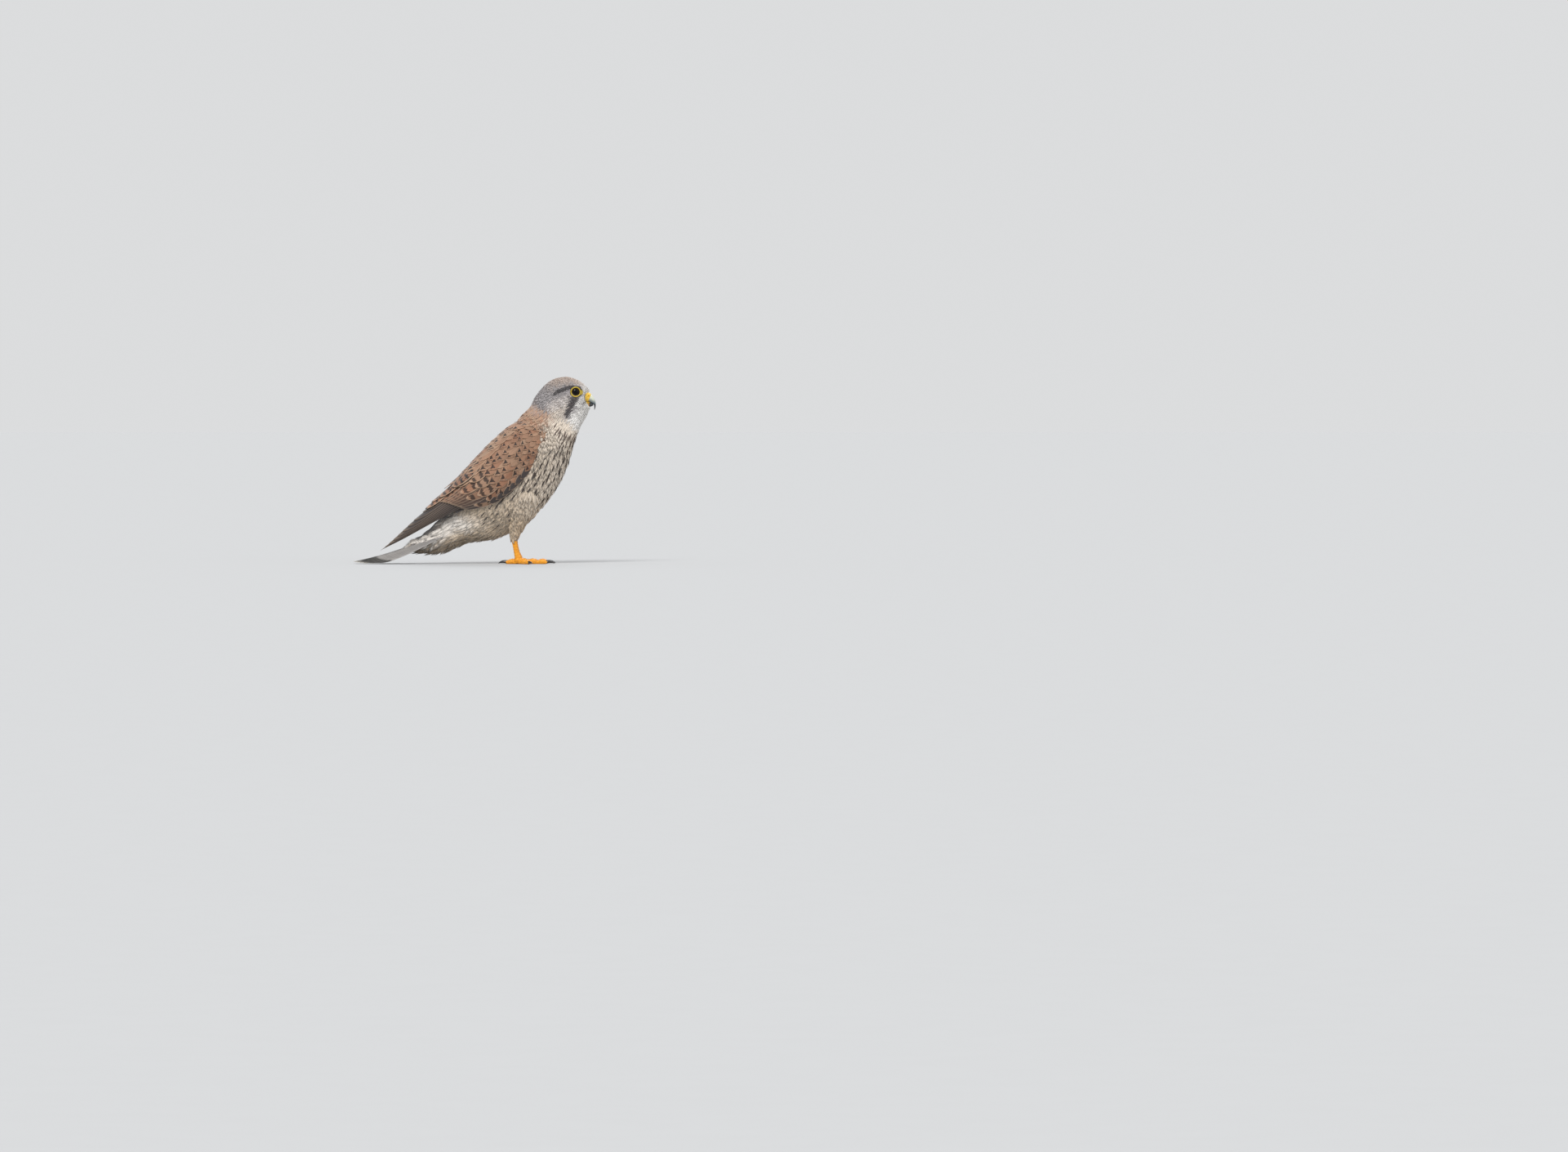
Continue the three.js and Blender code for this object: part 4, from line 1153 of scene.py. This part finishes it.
def vanes_piece(name, items, finish, slot, *nodes):
    """Joins vanes into one piece. An item has its surface, its sizes, its colours and its marks."""
    rng = np.random.default_rng(len(name) * 13)
    points, faces, vane, ground, marks, fringe, patches = [], [], [], [], [], [], []
    count = 0
    cells = math.ceil(math.sqrt(len(items)))
    for k, item in enumerate(items):
        p, f, v = vane_grid(item, rng)
        tint = 0.82 + 0.32 * rng.random()
        paled = item.get("paled", 0) * rng.random()
        points.append(p)
        faces += [[count + i for i in face] for face in f]
        vane.append(v)
        ground.append(blend(np.full(len(p), paled), item["colour"](v[:, 0], v[:, 1]) * tint, BUFF))
        marks.append(np.tile(item["marks"], (len(p), 1)))
        fringe.append(np.full(len(p), item["fringe"]))
        under = np.repeat([0.0, 0.5], len(p) // 2)
        patches.append(np.stack([(k % cells + 0.05 + 0.4 * (v[:, 1] + 1) / 2 + under) / cells,
                                 (k // cells + 0.05 + 0.9 * v[:, 0]) / cells], -1))
        count += len(p)
    piece = mesh_piece(name, np.concatenate(points), faces)
    point_attributes(piece, vane=np.concatenate(vane), marks=np.concatenate(marks),
                     fringe=np.concatenate(fringe), ground=np.concatenate(ground))
    layer = piece.data.uv_layers.new(name="OFBake")
    corner = np.empty(len(piece.data.loops), dtype=np.int32)
    piece.data.loops.foreach_get("vertex_index", corner)
    layer.data.foreach_set("uv", np.concatenate(patches)[corner].astype(np.float32).ravel())
    face_outwards(piece)
    piece.data.materials.append(MATERIALS[finish])
    finish_piece(piece, slot, *nodes)


def wing_item(side, start, end, **looks):
    (s0, v0), (s1, v1) = start, end

    def surface(u, aside, height):
        s = lerp(s0, s1, u)
        girth = lerp(wing_girth(s0), wing_girth(s1), np.clip(u, 0, 1))
        return wing_point(s, lerp(v0, v1, u) + aside / girth, height, side)

    return {"surface": surface, "length": abs(s1 - s0), **looks}


def shaded(root, tip):
    """The colour of a feather that changes from its root to its tip."""
    return lambda u, w: blend(smooth(0.3, 1.0, u), root, tip)


# Rows of coverts over the arm: root of the row, reach, half width, how high its tips lie, and its upper end.
LESSER_ROWS, LESSER_ROOTS, LESSER_REACH, LESSER_HALF = 9, (-4, 42), (15, 24), (3.0, 4.4)
MEDIAN_ROWS = ((46, 27, 5.0, 1.5), (54, 29, 5.2, 1.5))
GREATER_ROWS = ((64, 33, 5.4, 1.5, 0.16), (75, 37, 5.6, 1.5, 0.24))
SCAPULAR_ROWS, SCAPULARS_IN_ROW = 9, 4
PRIMARIES, SECONDARIES = 9, 10
TERTIALS = ((98, 153, 0.22), (92, 144, 0.15), (82, 134, 0.27), (76, 124, 0.10), (70, 116, 0.33))
UNMARKED = (0, 0, 0)


def spotted(share, strength):
    return lambda rng: (strength * (rng.random() < share), 0.0, 0.0)


def covert_row(side, rng, along, reach, half, rise, top_end, shift, marks, **looks):
    half = half * 1.12
    count = round(wing_girth(along + reach * 0.8) * (1 - top_end) / (half * 1.5))
    items = []
    for i in range(count):
        v = lerp(top_end, 1.0, (i + 0.5 + shift) / count)
        s = along + 9 * (0.5 - v) + rng.normal() * 0.9
        end = (s + reach * (0.94 + 0.12 * rng.random()), v + 0.012 * rng.normal())
        items.append(wing_item(side, (s, v), end, half=half * (0.93 + 0.14 * rng.random()),
                               rise=rise + 0.25 * rng.random(), base=0.1,
                               marks=marks(rng) if callable(marks) else marks, **looks))
    return items


def wing_coverts(side):
    """Rows of coverts from the wrist back, smallest in front, each staggered against the last."""
    rng = np.random.default_rng(7)
    brown = shaded(RUFOUS * 0.88, RUFOUS * 1.1)
    items = []
    for r in range(LESSER_ROWS):
        u = r / (LESSER_ROWS - 1)
        items += covert_row(side, rng, lerp(*LESSER_ROOTS, u), lerp(*LESSER_REACH, u), lerp(*LESSER_HALF, u),
                            lerp(1.5, 1.4, u), lerp(0.06, 0.26, smooth(0, 0.6, u)), 0.25 * (r % 2),
                            spotted(0.62, 0.95), tilt=0.07, rows=8, colour=brown, fringe=0.35, paled=0.22)
    for k, row in enumerate(MEDIAN_ROWS):
        items += covert_row(side, rng, *row, 0.24, 0.25 * k, (0.9, 0.0, 0.0), tilt=0.08, rows=9, colour=brown,
                            fringe=0.5, paled=0.2)
    for k, row in enumerate(GREATER_ROWS):
        items += covert_row(side, rng, *row, 0.25 * k, (0.0, 0.85, 0.0), tilt=0.12, rows=12, tip=0.35,
                            blunt=3.0, colour=brown, fringe=0.75, paled=0.2)
    for u in np.arange(6) / 5:
        items.append(wing_item(side, (lerp(24, 62, u), 0.99), (lerp(50, 92, u), 1.0), half=4.2, rise=2.4,
                               base=0.3, tilt=0.1, rows=9, colour=shaded(FLIGHT * 1.2, FLIGHT),
                               marks=UNMARKED, fringe=0.5))
    return items


def wing_scapulars(side):
    rng = np.random.default_rng(17)
    marked = spotted(0.75, 1.0)
    items = []
    for r in range(SCAPULAR_ROWS):
        u = r / (SCAPULAR_ROWS - 1)
        for i in range(SCAPULARS_IN_ROW):
            v = lerp(0.01, 0.34, (i + 0.3 + 0.4 * (r % 2)) / SCAPULARS_IN_ROW)
            s = lerp(0, 72, u) - 8 * (v - 0.1) + rng.normal() * 0.9
            items.append(wing_item(
                side, (s, v), (s + lerp(22, 36, u), v + 0.012 * rng.normal()),
                half=lerp(4.6, 6.6, r / SCAPULAR_ROWS), rise=1.9 + 0.2 * rng.random(), base=-0.8, tilt=0.05,
                rows=10, colour=shaded(RUFOUS * 0.88, RUFOUS * 1.12), marks=marked(rng), fringe=0.45,
                paled=0.3,
            ))
    return items


def wing_quills(side):
    """Primaries, secondaries and tertials, the inner ones on top."""
    items = []
    for i in range(PRIMARIES):
        u = i / (PRIMARIES - 1)
        items.append(wing_item(
            side, (100, lerp(0.42, 0.86, u)), (lerp(158, WING_LENGTH - 9, u ** 0.75), lerp(0.14, 0.66, u)),
            half=lerp(7.2, 5.4, u), base=0, rise=lerp(0.9, -2.8, u), tilt=0.06, rows=20, tip=0.34, blunt=3.0,
            colour=shaded(FLIGHT, FLIGHT * 0.8), marks=UNMARKED, fringe=0.28,
        ))
    for i in range(SECONDARIES):
        u = i / (SECONDARIES - 1)
        items.append(wing_item(
            side, (lerp(72, 92, u), lerp(0.95, 0.38, u)), (lerp(118, 138, u), lerp(0.94, 0.34, u)),
            half=6.0, base=0, rise=1.6 - 0.02 * i, tilt=0.12, rows=14, tip=0.35,
            colour=shaded(blend(u, FLIGHT * 1.1, RUFOUS * 0.85), blend(u, FLIGHT, RUFOUS * 0.95)),
            marks=(0, 0.8 * u, 0), fringe=0.6,
        ))
    for s0, s1, v in TERTIALS:
        items.append(wing_item(
            side, (s0, v), (s1, v), half=7.0, base=0, rise=lerp(3.9, 2.6, (s1 - 112) / 41), tilt=0.10,
            rows=14, tip=0.4, colour=shaded(RUFOUS * 0.95, RUFOUS * 1.12), marks=(0, 0.95, 0), fringe=0.85,
        ))
    return items


def wing_bed(side):
    """The covered arm of the wing, which the feathers grow from."""
    s, v = np.meshgrid(np.linspace(-6, 128, 30), np.linspace(0, 1, 16), indexing="ij")
    top = wing_point(s, v, -0.4 + 0 * s, side)
    low = wing_point(s, v, -0.4 - lerp(8, 0.8, smooth(30, 130, s)), side)
    return np.concatenate([top, low[:, ::-1]], axis=1)


def make_wings():
    for name, side in SIDES:
        vanes_piece(f"wing_coverts_{name}", wing_coverts(side) + wing_scapulars(side), "covert", "wing",
                    f"wing_{name}")
        vanes_piece(f"flight_feathers_{name}", wing_quills(side), "quill", "wing")
        bed = wing_bed(side)
        piece = loft_piece(f"wing_arm_{name}", [bed], "down", "wing")
        # Painted shade: in front the arm is a half-dark rufous, so the gaps between the coverts read as
        # shaded; further back it turns to the flight feathers' brown.
        behind = smooth(20, -60, bed[..., 0].ravel())
        point_attributes(piece, ground=blend(behind, RUFOUS * 0.5, FLIGHT))


ROOF = 0.021  # how fast the closed tail slopes down on each side of its middle
TAIL_BAND, TAIL_END = (0.80, 0.965), 0.97  # the black band and the pale end, as shares of a feather
TAIL_BARS = 8.5
TAIL_START = 46  # the vanes begin under the coverts, this far from the root


def tail_colour(u, w):
    """Grey with a black band and a whitish end, and with narrow dark bars on the inner vane."""
    bars = smooth(0.2, 0.7, np.cos(u * 2 * math.pi * TAIL_BARS))
    bars = bars * smooth(0.75, 0.7, u) * smooth(1, 0.5, np.abs(w))
    tone = blend(0.45 * bars, blend(smooth(0.0, 0.9, u), TAIL_GREY, TAIL_GREY * 0.9), SLATE)
    band = smooth(TAIL_BAND[0] - 0.01, TAIL_BAND[0], u) * smooth(TAIL_BAND[1] + 0.01, TAIL_BAND[1], u)
    tone = blend(band, tone, linear("#100f10"))
    return blend(smooth(TAIL_END - 0.005, TAIL_END + 0.005, u), tone, linear("#ddd8cf"))


def tail_item(pair, short, side):
    middle = 1.4 + TAIL_SPACING * pair
    layer = (0.3 if side > 0 else 0.0) if pair == 0 else -0.34 * pair
    inner = -9 if pair == 0 else 0.2
    end = TAIL_LENGTH - short

    def surface(u, aside, height):
        out = np.maximum(middle * lerp(0.5, 1.2, u) + side * aside, inner)
        made = tail_point(lerp(TAIL_START, end, u), side * out, height + 1.4 - ROOF * out ** 2)
        made[..., 2] = np.maximum(made[..., 2], 0.05)
        return made

    return {"surface": surface, "length": end - TAIL_START, "half": 8, "base": -layer, "rise": layer,
            "tilt": 0, "rows": 30, "tip": 0.42, "widest": 0.7, "blunt": 3.0, "round": 0.9, "narrow": 0.75,
            "colour": tail_colour, "marks": UNMARKED, "fringe": 0.12}


def make_tail():
    items = [tail_item(pair, short, side) for pair, short in enumerate(TAIL_STEPS) for _, side in SIDES]
    vanes_piece("tail_feathers", items, "tail", "grey_tail", "tail")


# Bare parts

CERE_ROWS = 4  # the rows of the upper bill within which the cere ends


def cere_end(turns):
    """Where the cere ends along the upper bill, at each turn round it."""
    places = np.linspace(0, CERE_ROWS, 161)
    place, turn = np.meshgrid(places, turns, indexing="ij")
    points = section_point(UPPER_BILL, place, turn)
    (x0, z0), (x1, z1) = CERE_CUT
    behind = points[..., 0] < x1 + (points[..., 2] - z1) * (x0 - x1) / (z0 - z1)
    return places[np.argmin(behind, axis=0)]


def make_bill():
    last = cere_end(around_once(48))
    share, turn = ring_grid(0, 1, 48, 48)
    place = lerp(last - 0.25, len(UPPER_BILL) - 1, share)
    upper = section_point(UPPER_BILL, place, turn)
    tooth = np.exp(-((place - 4.3) / 0.3) ** 2) * smooth(0.6, 1.0, under_share(turn))
    upper[..., 2] -= 0.6 * tooth
    loft_piece("bill_upper_horn", [upper], "horn", "bill", "bill_upper")
    place, turn = ring_grid(0, len(LOWER_BILL) - 1, 26, 48)
    lower = section_point(LOWER_BILL, place, turn)
    lower[..., 2] += 1.5 * smooth(0.65, 0.25, under_share(turn)) * smooth(4.0, 3.0, place)
    loft_piece("bill_lower_horn", [lower], "horn", "bill", "bill_lower")

    share, turn = ring_grid(0, 1, 34, 48)
    thick = 0.32 * smooth(1, 0.86, share) + 0.03
    grown = section_point(UPPER_BILL, 0.02 + (last - 0.02) * share, turn, thick)
    for _, side in SIDES:
        reach = np.hypot(grown[..., 0] - NOSTRIL[0], grown[..., 2] - NOSTRIL[1])
        reach += 20 * (grown[..., 1] * side < 0)
        rim = np.exp(-((reach - 1.35) / 0.4) ** 2)
        grown[..., 1] += side * (0.22 * rim - 1.6 * (1 - smooth(0.55, 1.15, reach)))
    loft_piece("cere_skin", [grown], "cere", "cere", "cere")

    gape = []
    for _, side in SIDES:
        u = np.linspace(0, 1, 24)
        level = 173.7 - 0.4 * np.sin(3 * u)
        path = np.stack([lerp(67.5, 77.5, u), side * lerp(8.8, 3.4, u ** 0.9), level], -1)
        gape.append(tube(path, (0.6 * np.sin(math.pi * (0.12 + 0.83 * u)))[:, None], 10))
    loft_piece("gape", gape, "cere", "cere")


def tube(path, radius, around, wide=1.0, lowest=-np.inf):
    """A round tube along a path, as rings. It is cut flat where it would pass below the lowest level."""
    ahead = unit(np.gradient(path, axis=0))
    up = np.where(np.abs(ahead[:, 2:3]) > 0.9, np.array([[1.0, 0, 0]]), np.array([[0, 0, 1.0]]))
    aside = unit(np.cross(up, ahead))
    up = unit(np.cross(ahead, aside))
    turn = around_once(around)
    rings = (path[:, None] + aside[:, None] * (radius * wide * np.cos(turn))[..., None]
             + up[:, None] * (radius * np.sin(turn))[..., None])
    rings[..., 2] = np.maximum(rings[..., 2], lowest)
    return rings


def make_eyes():
    u, t = ring_grid(0.02, math.pi - 0.02, 32, 48)
    ring, turn = np.meshgrid(around_once(64), around_once(18), indexing="ij")
    corner = np.maximum(np.cos(ring), 0) ** 3
    wrinkle = 1 + 0.05 * np.sin(26 * ring) + 0.04 * np.sin(41 * ring + 1)
    reach = 5.1 + 0.6 * corner + (0.9 * wrinkle + 0.7 * corner) * np.cos(turn)
    x = reach * np.cos(ring) * 1.05
    z = reach * np.sin(ring) - 0.5 * corner
    lip = wrinkle * np.where(np.sin(turn) > 0, 0.75, 2.6) * np.sin(turn)
    out = 3.5 + lip - 0.06 * x - 0.14 * np.maximum(x, 0) - 0.75 * np.maximum(x - 4.6, 0)
    out += 0.07 * np.maximum(-z, 0) - 0.1 * np.maximum(z, 0)
    ball = EYE + EYE_RADIUS * np.stack([np.cos(t) * np.sin(u), np.cos(u), np.sin(t) * np.sin(u)], -1)
    lids = np.stack([EYE[0] + 0.5 + x, EYE[1] + out, EYE[2] + z], -1)
    for name, side in SIDES:
        mirror = np.array([1, side, 1])
        loft_piece(f"eyeball_{name}", [ball * mirror], "eye", "eye", f"eye_{name}")
        loft_piece(f"eye_ring_{name}", [lids * mirror], "eye_ring", "eye_ring", f"eyelid_{name}",
                   closed_ring=True)


SOLE = 0.02  # the level of the flats under toes and claws


def toe_place(toe, side, distance):
    turn = math.radians(toe["bearing"])
    return distance * math.cos(turn), side * (LEG_APART + distance * math.sin(turn))


def toe_rings(toe, side):
    u = np.linspace(0, 1, 90)
    pad = 0.12 * np.cos(u * toe["joints"] * 2 * math.pi)
    radius = toe["thick"] * (lerp(1.06, 0.86, u) - pad)
    radius[-1] *= 0.72
    path = np.stack([*toe_place(toe, side, u * toe["length"]), radius * 0.8 + 0.6 * (1 - u) ** 6], -1)
    over = smooth(-0.1, 0.6, np.sin(around_once(24)))[None]
    scutes = 0.13 * np.abs(np.sin(u * toe["length"] * 1.15))[:, None] * over
    return tube(path, radius[:, None] * (0.94 + scutes), 24, 0.92, SOLE)


def claw_rings(toe, side):
    u = np.linspace(0, 1, 30)
    thick = toe["thick"]
    height = thick * 0.78 + 0.9 * np.sin(u * math.pi * 0.8) * (1 - u) - (thick * 0.62 - 0.3) * u * u
    along = toe["length"] - 0.6 + toe["claw"] * 0.86 * np.sin(u * 1.25) / math.sin(1.25)
    radius = thick * 0.6 * (1 - u) ** 0.8 + 0.2
    return tube(np.stack([*toe_place(toe, side, along), height], -1), radius[:, None], 18, 0.85, SOLE)


def make_feet():
    row = row_at(SHANK, np.linspace(0, len(SHANK) - 1, 96))
    front = 1 - 0.75 * smooth(0.75, 0.95, np.abs(np.cos(around_once(28))))[None]
    scutes = 0.11 * np.abs(np.sin(row[:, 1] * 1.05))[:, None] * front
    for name, side in SIDES:
        path = np.stack([row[:, 0], side * LEG_APART + 0 * row[:, 0], row[:, 1]], -1)
        rings = tube(path, row[:, 2:3] * (1 + scutes), 28)
        loft_piece(f"tarsus_{name}", [rings], "foot", "foot", f"shank_{name}")
        for toe in TOES:
            ends = f"{toe['name']}_{name}"
            loft_piece("toe_skin_" + ends, [toe_rings(toe, side)], "foot", "foot", "toe_" + ends)
            loft_piece("claw_horn_" + ends, [claw_rings(toe, side)], "claw", "claw", "claw_" + ends)


# Stage, light and camera

PIXEL = 0.88  # millimetres of the bird's plane in one pixel of the photograph's frame
FRAME_SIZE = (1920, 1410)
FEET_IN_FRAME = (635, 690)  # where the ground under the leg falls in that frame
CAMERA_HEIGHT = 0.26
FLOOR_REACH = 14000
SUNS = (  # name, direction it shines from, strength, angle across
    ("key", (-0.35, -1.0, 1.15), 1.9, 22),
    ("fill", (0.9, -0.55, 0.45), 0.45, 60),
    ("back", (0.3, 1.0, 0.9), 1.0, 40),
    ("glint", (-0.5, -1.0, 0.8), 0.2, 3),
)
AIR = 0.72  # brightness of the pale air round the bird
AIR_COLOUR = (0.99, 1.0, 1.01)


def make_stage():
    corners = [(x * FLOOR_REACH, y * FLOOR_REACH, 0) for x, y in ((-1, -1), (1, -1), (1, 1), (-1, 1))]
    ground = mesh_piece("studio_floor", corners, [(0, 1, 2, 3)])
    ground.data.shade_flat()
    light = AIR
    for _, place, strength, _ in SUNS:
        light += strength * place[2] / math.sqrt(sum(c * c for c in place)) / math.pi
    material, g, shader = new_material("studio_paper", 0.95, specular=0.0)
    tone = np.array(AIR_COLOUR) * AIR / light
    paper = g.mix(g.noise(40.0, 3.0, g.place()), rgba(tone * 0.985), rgba(tone * 1.01))
    g.feed(shader.inputs["Base Color"], paper)
    ground.data.materials.append(material)
    world = bpy.data.worlds.new("studio_air")
    bpy.context.scene.world = world
    world.use_nodes = True
    air = world.node_tree.nodes["Background"].inputs
    air["Color"].default_value = (*AIR_COLOUR, 1)
    air["Strength"].default_value = AIR
    for name, place, strength, angle in SUNS:
        lamp = bpy.data.lights.new(name, "SUN")
        lamp.energy, lamp.angle = strength, math.radians(angle)
        holder = add_object(name, lamp)
        holder.location = place
        holder.rotation_euler = Vector(place).to_track_quat("Z", "Y").to_euler()


def make_camera():
    camera = bpy.data.cameras.new("camera")
    camera.lens, camera.sensor_width, camera.clip_end = 250, 36, 100
    distance = FRAME_SIZE[0] * PIXEL * MM * camera.lens / camera.sensor_width
    target = Vector(((CENTRING + (FRAME_SIZE[0] / 2 - FEET_IN_FRAME[0]) * PIXEL) * MM, 0,
                     (FEET_IN_FRAME[1] - FRAME_SIZE[1] / 2) * PIXEL * MM))
    holder = add_object("camera", camera)
    holder.location = (target.x, -math.sqrt(distance ** 2 - (CAMERA_HEIGHT - target.z) ** 2), CAMERA_HEIGHT)
    holder.rotation_euler = (target - holder.location).to_track_quat("-Z", "Y").to_euler()
    bpy.context.scene.camera = holder
    bpy.context.scene.view_settings.view_transform = "Standard"


feather_template("small", 3, 2, 0.85)
feather_template("contour", 4, 4, 0.72, 0.05)
tuft_template("tuft")
for make in (make_stage, make_camera, make_skin, make_head_coat, make_mantle_coat, make_breast_coat,
             make_streaks, make_belly_coat, make_thigh_coats, make_wings, make_tail, make_bill, make_eyes,
             make_feet):
    make()
for template in TEMPLATES.values():
    bpy.data.objects.remove(template)
